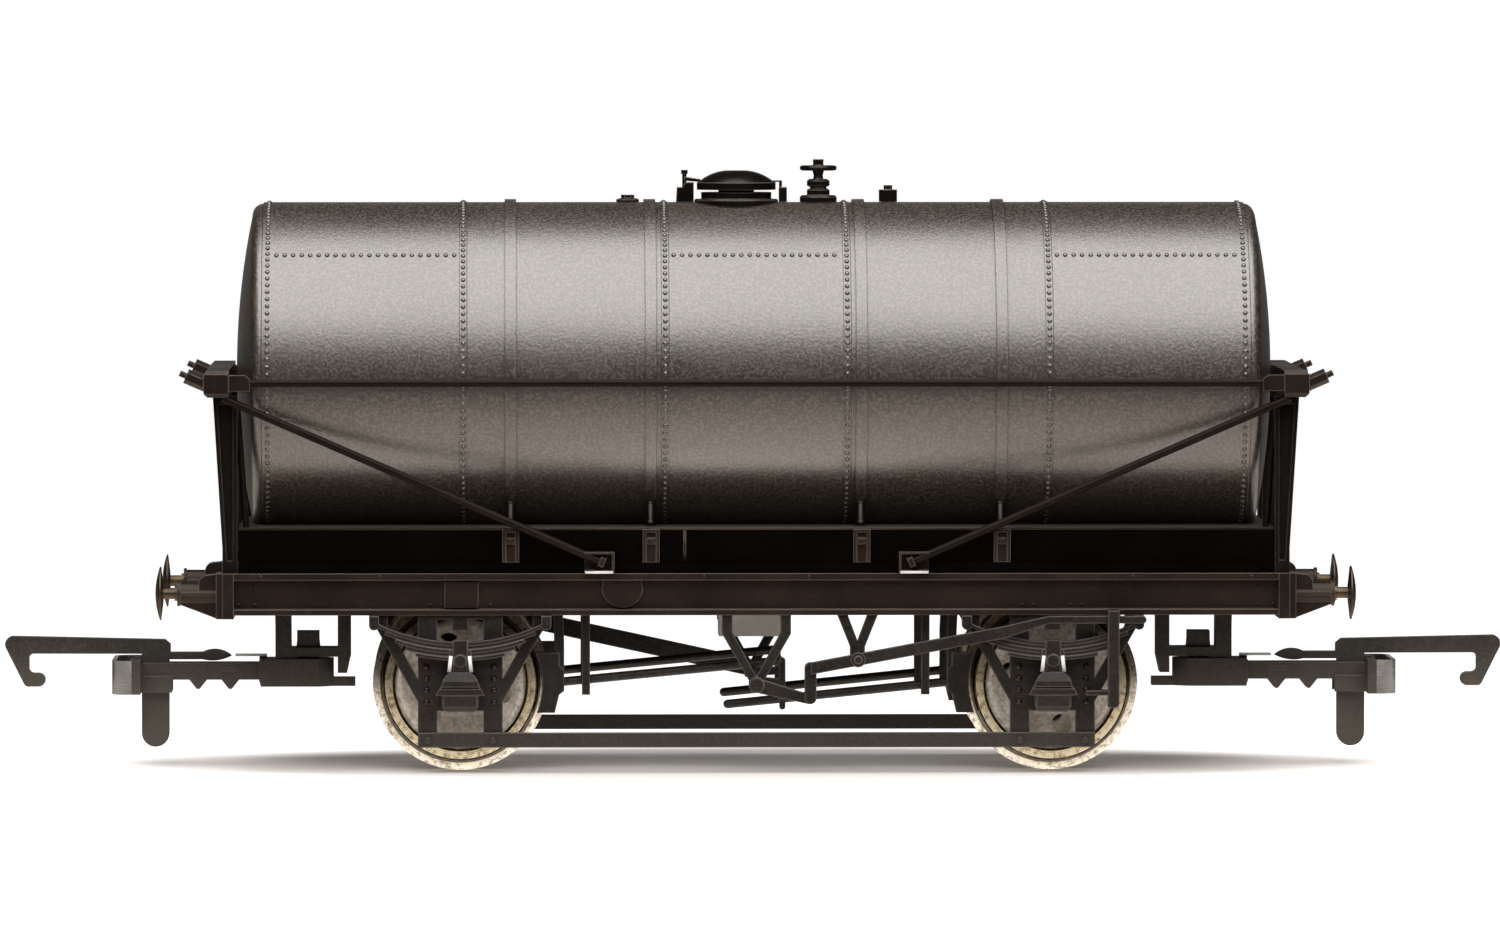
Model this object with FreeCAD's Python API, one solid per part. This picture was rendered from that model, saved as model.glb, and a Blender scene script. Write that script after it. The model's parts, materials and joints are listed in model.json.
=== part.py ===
import FreeCAD, Part
import math
import os

# A four-wheel tank wagon for 16.5 mm gauge track. Millimetres; +X along the wagon, the near side
# faces -Y, Z up from the floor that the wheel flanges stand on. Pieces are drawn for the near side
# and the right-hand end; the others are the same pieces turned or mirrored.

# Wheels and axles
WHEELBASE = 47.5
TREAD_R = 6.3
FLANGE_R = 7.05
FLANGE_W = 0.8
WHEEL_W = 2.8
BACK_TO_BACK = 14.4
TYRE_INNER_R = 5.25
TYRE_GROOVE = 0.17
DISC_RECESS = 0.35
DISC_INSET = 0.2
DISC_DISH = 0.4
DISC_HOLE_R = 0.8
DISC_HOLE_PITCH_R = 3.4
RIGHT_HOLE_ANGLE = -74.5
LEFT_HOLE_ANGLE = -14.0
HUB_R = 1.5
AXLE_R = 1.0
AXLE_TIP_R = 0.12
AXLE_CONE = 1.7
PIN_REACH = 0.2
BEARING_GAP = 0.08

# Underframe
SOLEBAR_FACE = 13.2
SOLEBAR_DROP = 5.65
SOLEBAR_H = 3.36
SOLEBAR_LIP = 0.9
SOLEBAR_WEB = 0.8
SOLEBAR_TOP_T = 0.55
SOLEBAR_LOW_T = 0.45
FLOOR_T = 1.06
HEADSTOCK_T = 0.9
HEADSTOCK_OVER = 0.05
HEADSTOCK_SKIRT = 0.3
FRAME_REACH = 0.95
PLATE_T = 0.4
PLATE_MARGIN = 0.15
SQUARE_PLATE_X = -23.65
SQUARE_PLATE_W = 2.7
ROUND_PLATE_X = -10.75
ROUND_PLATE_W = 3.3

# Tank and its fittings
TANK_R = 13.5
BARREL_HALF = 39.65
BARREL_STEP = 0.12
KNUCKLE = 0.9
DISH = 1.3
SEAM_X = (7.3, 23.5)
SEAM_W = 0.6
SEAM_T = 0.05
STRAP_X = (8.45, 19.7)
STRAP_W = 0.93
STRAP_T = 0.22
STRAP_END = 2.85
STRAP_TAPER = 1.0
STRAP_TIP_W = 0.56
STRAP_BOLT_R = 0.28
SKIN_GAP = 0.02
MANHOLE_X = -1.4
MANHOLE_FLANGE_R = 3.4
MANHOLE_FLANGE_H = 0.25
MANHOLE_NECK_R = 2.85
MANHOLE_NECK_H = 0.8
SEAL_R = 1.45
SEAL_H = 0.2
LID_R = 3.2
LID_RIM_H = 0.6
LID_DOME_H = 0.95
LID_CROWN_R = 0.95
HINGE_W = 1.45
HINGE_H = 1.6
HINGE_GAP = 0.25
HINGE_PIN_R = 0.18
HINGE_PIN_H = 1.0
CATCH_W = 0.65
CATCH_H = 1.2
VALVE_X = 5.25
VALVE_FLANGE_R = 1.5
VALVE_FLANGE_H = 0.55
VALVE_DISC_R = 0.92
VALVE_DISC_H = 0.75
VALVE_NECK_R = 0.42
VALVE_NECK_H = 0.68
HANDWHEEL_R = 1.5
HANDWHEEL_RIM_R = 0.21
HANDWHEEL_NUT = 0.5
VENT_X = 10.9
VENT_R = 0.74
VENT_H = 1.0
VENT_NUT_R = 0.3
PLUG_X = -10.2
PLUG_R = 0.93
PLUG_H = 0.3
NUT_H = 0.36

# Cradle, stays and end fixings
CRADLE_INSET = 0.6
CRADLE_UNDER = 2.54
SEAT_DEPTH = 1.1
CRADLE_REACH = 1.85
CRADLE_FOOT_H = 0.85
CRADLE_FOOT_T = 0.3
CRADLE_FOOT_BACK = 1.0
BRACKET_W = 1.35
BRACKET_T = 0.3
BRACKET_RIB_W = 0.28
BRACKET_RIB_T = 0.62
BRACKET_FOOT = 0.02
BRACKET_NUT = 0.6
ANCHOR_X = 12.6
ANCHOR_W = 2.4
ANCHOR_H = 1.75
ANCHOR_LINE = 1.0
ANCHOR_LIP = 0.05
ANCHOR_BASE_T = 0.25
ANCHOR_WALL = 0.18
ANCHOR_NUT_L = 0.45
STAY_GAP = 0.035
SIDE_STAY_R = 0.3
SIDE_STAY_DROP = 0.75
DIAGONAL_R = 0.325
DIAGONAL_END = 0.5
BEAM_GAP = 0.4
BEAM_T = 2.0
BEAM_H = 2.15
BEAM_DROP = 1.9
BEAM_EDGE = 0.3
BEAM_BEVEL = 0.3
BEAM_OVERHANG = 0.65
LUG_L = 1.7
LUG_H = 1.3
LUG_HALF = 0.45
STAY_NUT_ACROSS = 1.05
STAY_NUT_L = 1.55
STAY_NUT_RISE = 1.0
STUB_R = 0.24
STUB_L = 0.55
POST_Y = 11.6
POST_W = 2.0
POST_CLEAR = 1.05
POST_OUT = 1.3
POST_FLUTE = 0.25
BRACE_R = 0.25
BRACE_DROP = 0.8

# Buffers
BUFFER_Y = 11.35
BUFFER_RISE = 1.7
BUFFER_HEAD_R = 2.15
BUFFER_HEAD_T = 0.65
BUFFER_SHANK_R = 0.45
BUFFER_SHANK_L = 1.1
BUFFER_TUBE_R = 0.9
BUFFER_TUBE_L = 3.65
BUFFER_COLLAR = 0.25
BUFFER_BASE_T = 0.5
BUFFER_BASE_HALF = 1.75
BUFFER_FAIRING_L = 1.9

# Running gear
W_IRON_INSET = 0.4
W_IRON_T = 0.8
W_LEG_IN = 1.85
W_LEG_OUT = 3.4
W_WING_TOP = 6.75
W_WING_FOOT = 1.5
W_WING_W = 0.95
W_PLATE_TOP = 2.1
STOP_HALF = 0.65
STOP_H = 1.2
TIE_BAR_UNDER = 4.95
TIE_BAR_H = 1.2
TIE_BAR_T = 0.6
SPRING_HALF = 6.75
SPRING_HANG = 0.55
SPRING_CAMBER = 1.55
LEAF_T = 0.3
LEAF_COUNT = 5
LEAF_STEP = 0.8
LEAF_SHY = 0.07
SPRING_GAP = 0.2
SPRING_W = 1.2
SHOE_W = 0.8
SHOE_H = 1.15
BUCKLE_HALF = 0.58
CLIP_BAR = (0.62, 1.05)
CLIP_BAR_TOP = 2.95
BOX_HALF = 1.6
BOX_UNDER = 2.05
BOX_OVER = 1.15
BOX_DEPTH = 1.6
BOX_FRONT = 0.75
LIP_HALF = 1.95
LIP_UNDER = 0.7
LIP_H = 0.55
COVER_LOW_HALF = 1.5
COVER_TOP_HALF = 0.75
COVER_GAP = 0.12

# Brake gear
SHAFT_DROP = 5.6
SHAFT_R = 0.4
V_LEG_X = 2.35
V_LEG_W = 0.84
V_KNEE = 1.5
V_BOSS_R = 0.6
V_T = 0.6
V_INSET = 0.9
BRAKE_GAP = 0.3
BRAKE_SHOE_T = 1.35
BRAKE_SHOE_BULGE = 0.4
BRAKE_SHOE_TOE = 1.0
BULGE_UNDER = 0.6
BULGE_OVER = 1.1
BRAKE_SHOE_ABOVE = 22.0
BRAKE_SHOE_BELOW = 21.0
SHOE_HANGER_W = 0.75
ROD_R = 0.36
ROCKER_X = 2.15
ROCKER_UP = 1.75
ROCKER_DOWN = 1.35
ROD_TAIL = 4.4
LINK_X = 4.3
LINK_W = 0.95
LINK_TOP = 1.4
LINK_FOOT = 1.2
PIVOT_X = 8.1
SECOND_V_HALF = 1.2
SECOND_V_W = 0.85
SECOND_V_RISE = 1.45
PIVOT_BOSS_R = 0.6
PIVOT_R = 0.3
LEVER_GAP = 0.1
LEVER_T = 0.45
LEVER_D = 0.98
FAR_LEVER_D = 1.45
LEVER_END = 7.15
LEVER_LEVEL = 0.3
LEVER_BEND = 0.35
LEVER_RUN = 3.6
LEVER_RISE = 1.0
GUARD_OUT = (4.35, 5.25)
GUARD_H = 7.8
GUARD_BAR = 0.3
GUARD_STAY_Z = 0.55
GUARD_STAY_H = 0.4
HANGER_IN = 10.1
HANGER_W = 0.65
HANGER_H = 8.95
HANGER_HALF = 0.95
HANGER_T = 0.3
OUTLET_HALF = 2.85
OUTLET_BLOCK = 2.0
OUTLET_PIPE_R = 1.6
OUTLET_DROP = 2.2

# Couplings
COUPLING_RISE = 0.55
SWIVEL_IN = 6.7
SWIVEL_R = 0.8
SWIVEL_GAP = 0.06
POCKET_UNDER = 1.2
POCKET_OVER = 1.05
POCKET_L = 3.97
POCKET_HALF = 1.95
POCKET_BACK = 2.06
POCKET_BACK_HALF = 0.9
POCKET_CORNER = 1.2
TAIL_L = 3.8
TAIL_H = 0.7
TAIL_HALF = 0.9
ARM_UNDER = 0.65
ARM_OVER = 0.7
ARM_PAST_POCKET = 9.53
ARM_HALF = 1.5
SLOT_START = 5.2
SLOT_HALF = 0.6
TOOTH_X = (6.3, 8.9)
TOOTH_HALF = 0.72
TOOTH_H = 0.75
CROSS_T = 0.7
CROSS_HALF = 5.1
CROSS_UNDER = 1.68
CROSS_OVER = 1.05
HOOK_HALF = 0.45
HOOK_PIN_X = 12.2
HOOK_PIN_R = 0.3
HOOK_PIN_GAP = 0.06
DROP_W = 2.25
DROP_BACK = 0.95
DROP_L = 6.15
BAR_UNDER = 1.4
BAR_TOP = 2.7
HOOK_L = 12.3
HOOK_NECK = 1.9
HOOK_TIP_R = 0.55
HOOK_TIP_DROP = 0.7
HOOK_MOUTH = 1.35
TAIL_BAR = (0.95, 1.55)
LENS_X = (-6.0, -3.65)
BOW_OUT = 1.6
BOW_T = 0.35
BOW_CORNER = 1.3
SPRING_LEAF_OVER = 1.2
SPRING_LEAF_T = 0.18
SPRING_LEAF_X = (3.35, 5.9)
SPRING_LEAF_HALF = 0.5
MOUNT_GAP = 0.15
MOUNT_WEB_T = 0.75
MOUNT_FRONT = (1.35, 2.65)
MOUNT_REAR = (-3.45, -2.4)
MOUNT_REAR_OVER = 0.1
MOUNT_HALF = 1.6
CLIP_HALF = 0.9
CLIP_H = 1.3
PIN_HEAD = 0.3
PIN_HEAD_R = 1.15
PIN_SINK = 0.05

X_AXIS = (1, 0, 0)
Y_AXIS = (0, 1, 0)
Z_AXIS = (0, 0, 1)

# Places that several pieces share
AXLE_X = WHEELBASE / 2
AXLE_Z = FLANGE_R
WHEEL_BACK = BACK_TO_BACK / 2
WHEEL_FACE = WHEEL_BACK + WHEEL_W
SOLEBAR_LOW = AXLE_Z + SOLEBAR_DROP
SOLEBAR_TOP = SOLEBAR_LOW + SOLEBAR_H
SOLEBAR_BACK = SOLEBAR_FACE - SOLEBAR_LIP - SOLEBAR_WEB
FLOOR_LOW = SOLEBAR_TOP - FLOOR_T
TANK_LOW = SOLEBAR_TOP + CRADLE_UNDER
TANK_Z = TANK_LOW + TANK_R
TANK_TOP = TANK_Z + TANK_R
END_X = BARREL_HALF + KNUCKLE + DISH
FRAME_END = END_X + FRAME_REACH
SOLEBAR_END = FRAME_END - HEADSTOCK_T
CRADLE_HALF = BARREL_HALF + CRADLE_REACH
CRADLE_FACE = SOLEBAR_FACE - CRADLE_INSET
CRADLE_TOP = TANK_LOW + SEAT_DEPTH
BEAM_INNER = END_X + BEAM_GAP
BEAM_OUTER = BEAM_INNER + BEAM_T
BEAM_LOW = TANK_Z - BEAM_DROP
BEAM_TOP = BEAM_LOW + BEAM_H
STAY_FOOT_Y = CRADLE_FACE + BRACKET_RIB_T + STAY_GAP + DIAGONAL_R
STAY_Y = max(TANK_R + SKIN_GAP + STRAP_T + STAY_GAP + DIAGONAL_R, STAY_FOOT_Y)
BEAM_HALF = STAY_Y + BEAM_OVERHANG
SIDE_STAY_Z = TANK_Z - SIDE_STAY_DROP
W_IRON_OUTER = SOLEBAR_FACE - W_IRON_INSET
W_IRON_INNER = W_IRON_OUTER - W_IRON_T
AXLE_HALF = W_IRON_OUTER + PIN_REACH
BOX_LOW = AXLE_Z - BOX_UNDER
BOX_TOP = AXLE_Z + BOX_OVER
SPRING_BACK = W_IRON_OUTER + SPRING_GAP
SPRING_FACE = SPRING_BACK + SPRING_W
SPRING_END_Z = SOLEBAR_LOW - SPRING_HANG
SPRING_MID_Z = SPRING_END_Z - SPRING_CAMBER
V_OUTER = SOLEBAR_FACE - V_INSET + V_T
V_INNER = V_OUTER - V_T
SHAFT_Z = SOLEBAR_LOW - SHAFT_DROP
BRAKE_SHOE_Y = (WHEEL_BACK + FLANGE_W + 0.2, WHEEL_FACE - 0.2)
ROD_Y = (BRAKE_SHOE_Y[0] + BRAKE_SHOE_Y[1]) / 2
LEVER_KNEE = (AXLE_X - LEVER_BEND - LEVER_RUN, SOLEBAR_LOW - LEVER_LEVEL - LEVER_RISE)
LINK_TOP_Z = SHAFT_Z + LINK_TOP
PIVOT_Z = LINK_TOP_Z + (LEVER_KNEE[1] - LINK_TOP_Z) * (PIVOT_X - LINK_X) / (LEVER_KNEE[0] - LINK_X)
GUARD_INNER = SPRING_FACE + 0.05
LEVER_BACK = GUARD_INNER + 0.25 + LEVER_GAP
LEVER_FACE = LEVER_BACK + LEVER_T
COUPLING_Z = AXLE_Z + COUPLING_RISE
SWIVEL_X = FRAME_END - SWIVEL_IN
ARM_END = SWIVEL_X + POCKET_L + ARM_PAST_POCKET
HOOK_X = SWIVEL_X + HOOK_PIN_X
BOW_FRONT = ARM_END + CROSS_T + BOW_OUT


def outline_face(outline, place):
    """A flat face: (a, b) goes straight to that corner, (a, b, c, d) curves through a, b to c, d."""
    first = outline[0][-2:]
    last = first
    edges = []
    for item in list(outline[1:]) + [first]:
        end = item[-2:]
        if len(item) == 4:
            edges.append(Part.Arc(place(*last), place(*item[:2]), place(*end)).toShape())
        elif last != end:
            edges.append(Part.makeLine(place(*last), place(*end)))
        last = end
    return Part.Face(Part.Wire(edges))


def side_plate(outline, y):
    """An (x, z) outline pushed through across the wagon from y[0] to y[1]."""
    face = outline_face(outline, lambda a, b: FreeCAD.Vector(a, y[0], b))
    return face.extrude(FreeCAD.Vector(0, y[1] - y[0], 0))


def flat_plate(outline, z):
    """An (x, y) outline pushed upwards from z[0] to z[1]."""
    face = outline_face(outline, lambda a, b: FreeCAD.Vector(a, b, z[0]))
    return face.extrude(FreeCAD.Vector(0, 0, z[1] - z[0]))


def end_plate(outline, x):
    """A (y, z) outline pushed along the wagon from x[0] to x[1]."""
    face = outline_face(outline, lambda a, b: FreeCAD.Vector(x[0], a, b))
    return face.extrude(FreeCAD.Vector(x[1] - x[0], 0, 0))


def spun(outline, centre, axis):
    """A closed (radius, distance along) outline turned about an axis through the centre."""
    along = FreeCAD.Vector(*axis)
    out = FreeCAD.Vector(0, 0, 1) if abs(along.z) < 0.5 else FreeCAD.Vector(1, 0, 0)
    base = FreeCAD.Vector(*centre)
    face = outline_face(outline, lambda r, d: base + out * r + along * d)
    return face.revolve(base, along, 360)


def block(x, y, z):
    """A plain block between the low and high values along each axis."""
    return Part.makeBox(x[1] - x[0], y[1] - y[0], z[1] - z[0], FreeCAD.Vector(x[0], y[0], z[0]))


def rod(radius, start, end):
    """A round bar from one point to another."""
    a = FreeCAD.Vector(*start)
    b = FreeCAD.Vector(*end)
    return Part.makeCylinder(radius, (b - a).Length, a, b - a)


def strip(width, start, end, y):
    """A flat bar of this width between two (x, z) points, its ends rounded."""
    dx = end[0] - start[0]
    dz = end[1] - start[1]
    length = math.hypot(dx, dz)
    ux, uz = dx / length * width / 2, dz / length * width / 2
    return side_plate([(start[0] - uz, start[1] + ux),
                       (start[0] - ux, start[1] - uz, start[0] + uz, start[1] - ux),
                       (end[0] + uz, end[1] - ux),
                       (end[0] + ux, end[1] + uz, end[0] - uz, end[1] + ux)], y)


def hexagon(across, centre, low, high):
    """An upright hexagon nut."""
    r = across / math.sqrt(3)
    corners = [(centre[0] + r * math.cos(math.radians(60 * k)), centre[1] + r * math.sin(math.radians(60 * k)))
               for k in range(6)]
    return flat_plate(corners, (low, high))


def slanted_nut(across, start, ahead, length):
    """A hexagon nut that starts at a point and runs along this (x, z) direction."""
    nut = hexagon(across, (0, 0), 0, length)
    turn = FreeCAD.Rotation(FreeCAD.Vector(*Z_AXIS), FreeCAD.Vector(ahead[0], 0, ahead[1]))
    nut.Placement = FreeCAD.Placement(FreeCAD.Vector(*start), turn)
    return nut


def joined(pieces):
    """Pieces of one moulding or forging as one solid."""
    whole = pieces[0]
    if len(pieces) > 1:
        whole = whole.fuse(pieces[1:])
    return whole.removeSplitter()


def turned(shape):
    """The same piece half a turn round on the wagon."""
    copy = shape.copy()
    copy.rotate(FreeCAD.Vector(0, 0, 0), FreeCAD.Vector(0, 0, 1), 180)
    return copy


def mirrored(shape, normal):
    """The piece's mirror image in the plane through the origin with this normal."""
    return shape.mirror(FreeCAD.Vector(0, 0, 0), FreeCAD.Vector(*normal))


def group(pieces):
    """Separate solids kept side by side in one node."""
    solids = []
    for piece in pieces:
        solids.extend(piece.Solids)
    return Part.makeCompound(solids) if len(solids) > 1 else solids[0]


def four(piece):
    """A piece at both ends of both sides."""
    pair = [piece, mirrored(piece, X_AXIS)]
    return group(pair + [turned(each) for each in pair])


def skin(x, reach):
    """The space of the tank's barrel round this x, a skin gap larger."""
    return rod(TANK_R + SKIN_GAP, (x - reach, 0, TANK_Z), (x + reach, 0, TANK_Z))


def tank_barrel():
    """The barrel, rolled from plates that lap under a raised strip at each ring seam."""
    barrel = rod(TANK_R, (-BARREL_HALF, 0, TANK_Z), (BARREL_HALF, 0, TANK_Z))
    strips = []
    for x in SEAM_X:
        for side in (-1, 1):
            low = side * x - SEAM_W / 2
            strips.append(rod(TANK_R + SEAM_T, (low, 0, TANK_Z), (low + SEAM_W, 0, TANK_Z)))
    return joined([barrel] + strips)


def crown(radius, low, high):
    """The curve of a shallow dome centred on its axis, from its edge at low to its top at high."""
    ball = (radius ** 2 + (high - low) ** 2) / (2 * (high - low))
    return (radius / 2, high - ball + math.sqrt(ball ** 2 - (radius / 2) ** 2), 0, high)


def tank_end():
    """A dished end set a step inside the barrel's edge: a small knuckle radius, then a shallow dome."""
    bend = KNUCKLE * math.sin(math.pi / 4)
    foot = TANK_R - BARREL_STEP - KNUCKLE
    profile = [(0, BARREL_HALF), (TANK_R - BARREL_STEP, BARREL_HALF),
               (foot + bend, BARREL_HALF + bend, foot, BARREL_HALF + KNUCKLE),
               crown(foot, BARREL_HALF + KNUCKLE, END_X)]
    return spun(profile, (0, 0, TANK_Z), X_AXIS)


def strap(x):
    """A flat strap over the tank, its ends tapered to the bolts that stand on the cradle."""
    inner = TANK_R + SKIN_GAP
    outer = inner + STRAP_T
    half = STRAP_W / 2
    end = TANK_LOW + STRAP_END
    ring = rod(outer, (x - half, 0, TANK_Z), (x + half, 0, TANK_Z))
    space = rod(inner, (x - half, 0, TANK_Z), (x + half, 0, TANK_Z))
    tip = STRAP_TIP_W / 2
    shape = side_plate([(x - half, TANK_TOP + 1), (x + half, TANK_TOP + 1), (x + half, end + STRAP_TAPER),
                        (x + tip, end), (x - tip, end), (x - half, end + STRAP_TAPER)], (-outer, outer))
    pieces = [ring.common(shape)]
    bolt_y = math.sqrt(outer ** 2 - (TANK_Z - end) ** 2)
    for side in (-1, 1):
        pieces.append(rod(STRAP_BOLT_R, (x, side * bolt_y, CRADLE_TOP), (x, side * bolt_y, end + STRAP_BOLT_R)))
    return joined(pieces).cut(space)


def cradle():
    """The long block under the tank, with the tank's own curve cut into its top."""
    body = block((-CRADLE_HALF, CRADLE_HALF), (-CRADLE_FACE, CRADLE_FACE), (SOLEBAR_TOP, CRADLE_TOP))
    body = body.cut(skin(0, BARREL_HALF))
    end = tank_end()
    body = body.cut(end).cut(turned(end))
    for x in SEAM_X:
        for side in (-1, 1):
            low = side * x - SEAM_W / 2 - SKIN_GAP
            high = side * x + SEAM_W / 2 + SKIN_GAP
            body = body.cut(rod(TANK_R + SEAM_T + SKIN_GAP, (low, 0, TANK_Z), (high, 0, TANK_Z)))
    reach = CRADLE_HALF - CRADLE_FOOT_BACK
    gap = ANCHOR_W / 2
    pieces = [body]
    for side in (-1, 1):
        y = sorted((side * CRADLE_FACE, side * (CRADLE_FACE + CRADLE_FOOT_T)))
        for x in ((-reach, -ANCHOR_X - gap), (gap - ANCHOR_X, ANCHOR_X - gap), (ANCHOR_X + gap, reach)):
            pieces.append(block(x, y, (SOLEBAR_TOP, SOLEBAR_TOP + CRADLE_FOOT_H)))
    return joined(pieces)


def strap_bracket(x):
    """The bracket on the cradle's face below a strap: a plate between two ribs, with a nut."""
    low = SOLEBAR_TOP + CRADLE_FOOT_H + BRACKET_FOOT
    top = CRADLE_TOP - 0.1
    half = BRACKET_W / 2
    plate = block((x - half, x + half), (-CRADLE_FACE - BRACKET_T, -CRADLE_FACE), (low, top))
    pieces = [plate]
    for side in (-1, 1):
        edge = x + side * (half - BRACKET_RIB_W / 2)
        rib = end_plate([(-CRADLE_FACE, low), (-CRADLE_FACE - BRACKET_RIB_T * 0.6, low),
                         (-CRADLE_FACE - BRACKET_RIB_T, top - 0.7), (-CRADLE_FACE - BRACKET_RIB_T, top),
                         (-CRADLE_FACE, top)], (edge - BRACKET_RIB_W / 2, edge + BRACKET_RIB_W / 2))
        pieces.append(rib)
    shelf = block((x - half, x + half), (-CRADLE_FACE - BRACKET_RIB_T, -CRADLE_FACE), (top - 0.25, top))
    nut = block((x - BRACKET_NUT / 2, x + BRACKET_NUT / 2),
                (-CRADLE_FACE - BRACKET_RIB_T, -CRADLE_FACE), (top - 1.2, top - 0.7))
    return joined(pieces + [shelf, nut])


def manhole_neck():
    """The manhole's flange and neck on the barrel, with the seal ring that the lid rests on."""
    foot = TANK_Z + math.sqrt(TANK_R ** 2 - MANHOLE_FLANGE_R ** 2) - SEAM_T
    rim = TANK_TOP + MANHOLE_NECK_H
    profile = [(0, foot), (MANHOLE_FLANGE_R, foot), (MANHOLE_FLANGE_R, TANK_TOP + MANHOLE_FLANGE_H - 0.1),
               (MANHOLE_FLANGE_R - 0.1, TANK_TOP + MANHOLE_FLANGE_H),
               (MANHOLE_NECK_R, TANK_TOP + MANHOLE_FLANGE_H), (MANHOLE_NECK_R, rim), (SEAL_R, rim),
               (SEAL_R, rim + SEAL_H), (0, rim + SEAL_H)]
    return spun(profile, (MANHOLE_X, 0, 0), Z_AXIS).cut(skin(MANHOLE_X, MANHOLE_FLANGE_R + 1))


def manhole_lid():
    """The lid: a flat rim under a low dome with a flat crown."""
    low = TANK_TOP + MANHOLE_NECK_H + SEAL_H
    rim = low + LID_RIM_H
    top = rim + LID_DOME_H
    shoulder = (LID_R + LID_CROWN_R) / 2
    profile = [(0, low), (LID_R, low), (LID_R, rim), (LID_R - 0.1, rim),
               (shoulder, rim + LID_DOME_H * 0.68, LID_CROWN_R, top), (0, top)]
    return spun(profile, (MANHOLE_X, 0, 0), Z_AXIS)


def manhole_clamps():
    """The hinge bracket at the lid's left with its pin and arm, and the catch at its right."""
    rim_low = TANK_TOP + MANHOLE_NECK_H + SEAL_H
    rim_top = rim_low + LID_RIM_H
    left = MANHOLE_X - LID_R - HINGE_GAP
    low = TANK_TOP - 0.4
    hinge = side_plate([(left - HINGE_W, low), (left, low), (left, TANK_TOP + HINGE_H),
                        (left - 0.65, TANK_TOP + HINGE_H), (left - 0.95, TANK_TOP + HINGE_H - 0.4),
                        (left - HINGE_W + 0.1, TANK_TOP + HINGE_H - 0.4)], (-0.7, 0.7))
    pin_x = left - 0.75
    pin = rod(HINGE_PIN_R, (pin_x, 0, TANK_TOP), (pin_x, 0, TANK_TOP + HINGE_H + HINGE_PIN_H - 0.1))
    knob = rod(HINGE_PIN_R + 0.09, (pin_x, 0, TANK_TOP + HINGE_H + HINGE_PIN_H - 0.32),
               (pin_x, 0, TANK_TOP + HINGE_H + HINGE_PIN_H))
    lid_edge = MANHOLE_X - LID_R + 0.3
    arm = side_plate([(pin_x, rim_top + 0.12), (lid_edge, rim_top + SKIN_GAP), (lid_edge, rim_top + 0.25),
                      (pin_x, rim_top + 0.45)], (-0.3, 0.3))
    dome = manhole_lid()
    right = MANHOLE_X + LID_R + HINGE_GAP
    catch = block((right, right + CATCH_W), (-0.5, 0.5), (low, TANK_TOP + CATCH_H))
    finger = side_plate([(right + CATCH_W * 0.4, TANK_TOP + CATCH_H - 0.1), (right + CATCH_W * 0.4, rim_top + 0.15),
                         (right - HINGE_GAP - 0.25, rim_top + 0.15), (right - HINGE_GAP - 0.25, rim_top + SKIN_GAP),
                         (right + 0.02, rim_top + SKIN_GAP), (right + 0.02, TANK_TOP + CATCH_H - 0.1)], (-0.25, 0.25))
    keep_off = rod(MANHOLE_FLANGE_R, (MANHOLE_X, 0, low - 1), (MANHOLE_X, 0, TANK_TOP + MANHOLE_FLANGE_H))
    pieces = []
    for piece in (joined([hinge, pin, knob, arm]), joined([catch, finger])):
        pieces.append(piece.cut(skin(MANHOLE_X, 10)).cut(keep_off).cut(dome))
    return group(pieces)


def filling_valve():
    """The valve: a flange, a bolted joint, a waisted body and the spindle's neck."""
    a = TANK_TOP + VALVE_FLANGE_H
    b = a + VALVE_DISC_H * 0.75
    c = b + VALVE_DISC_H
    top = c + VALVE_NECK_H
    foot = TANK_TOP - 0.4
    profile = [(0, foot), (VALVE_FLANGE_R, foot), (VALVE_FLANGE_R, a - 0.15), (VALVE_FLANGE_R - 0.15, a),
               (VALVE_DISC_R, a), (VALVE_DISC_R, b - 0.12), (VALVE_DISC_R - 0.25, b), (VALVE_DISC_R - 0.25, b + 0.1),
               (VALVE_DISC_R, b + 0.22), (VALVE_DISC_R, c - 0.15), (VALVE_DISC_R - 0.2, c),
               (VALVE_NECK_R, c), (VALVE_NECK_R - 0.05, c + VALVE_NECK_H * 0.4), (VALVE_NECK_R + 0.05, top), (0, top)]
    return spun(profile, (VALVE_X, 0, 0), Z_AXIS).cut(skin(VALVE_X, VALVE_FLANGE_R + 1))


def valve_handwheel():
    """A handwheel with four spokes, its hub and a square nut."""
    low = TANK_TOP + VALVE_FLANGE_H + VALVE_DISC_H * 1.75 + VALVE_NECK_H
    mid = low + HANDWHEEL_RIM_R
    ring_r = HANDWHEEL_R - HANDWHEEL_RIM_R
    pieces = [Part.makeTorus(ring_r, HANDWHEEL_RIM_R, FreeCAD.Vector(VALVE_X, 0, mid), FreeCAD.Vector(*Z_AXIS))]
    pieces.append(rod(VALVE_NECK_R + 0.1, (VALVE_X, 0, low), (VALVE_X, 0, low + 2 * HANDWHEEL_RIM_R)))
    half = VALVE_NECK_R
    top = low + 2 * HANDWHEEL_RIM_R + HANDWHEEL_NUT
    pieces.append(block((VALVE_X - half, VALVE_X + half), (-half, half), (mid, top)))
    for k in range(4):
        angle = math.radians(90 * k + 25)
        pieces.append(rod(HANDWHEEL_RIM_R * 0.7, (VALVE_X, 0, mid),
                          (VALVE_X + ring_r * math.cos(angle), ring_r * math.sin(angle), mid)))
    return joined(pieces)


def vent_pipe():
    """The short vent with its hexagon cap."""
    body = rod(VENT_R, (VENT_X, 0, TANK_TOP - 0.3), (VENT_X, 0, TANK_TOP + VENT_H))
    cap = hexagon(VENT_NUT_R * 2, (VENT_X, 0), TANK_TOP + VENT_H - 0.1, TANK_TOP + VENT_H + NUT_H)
    return joined([body, cap]).cut(skin(VENT_X, VENT_R + 1))


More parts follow.
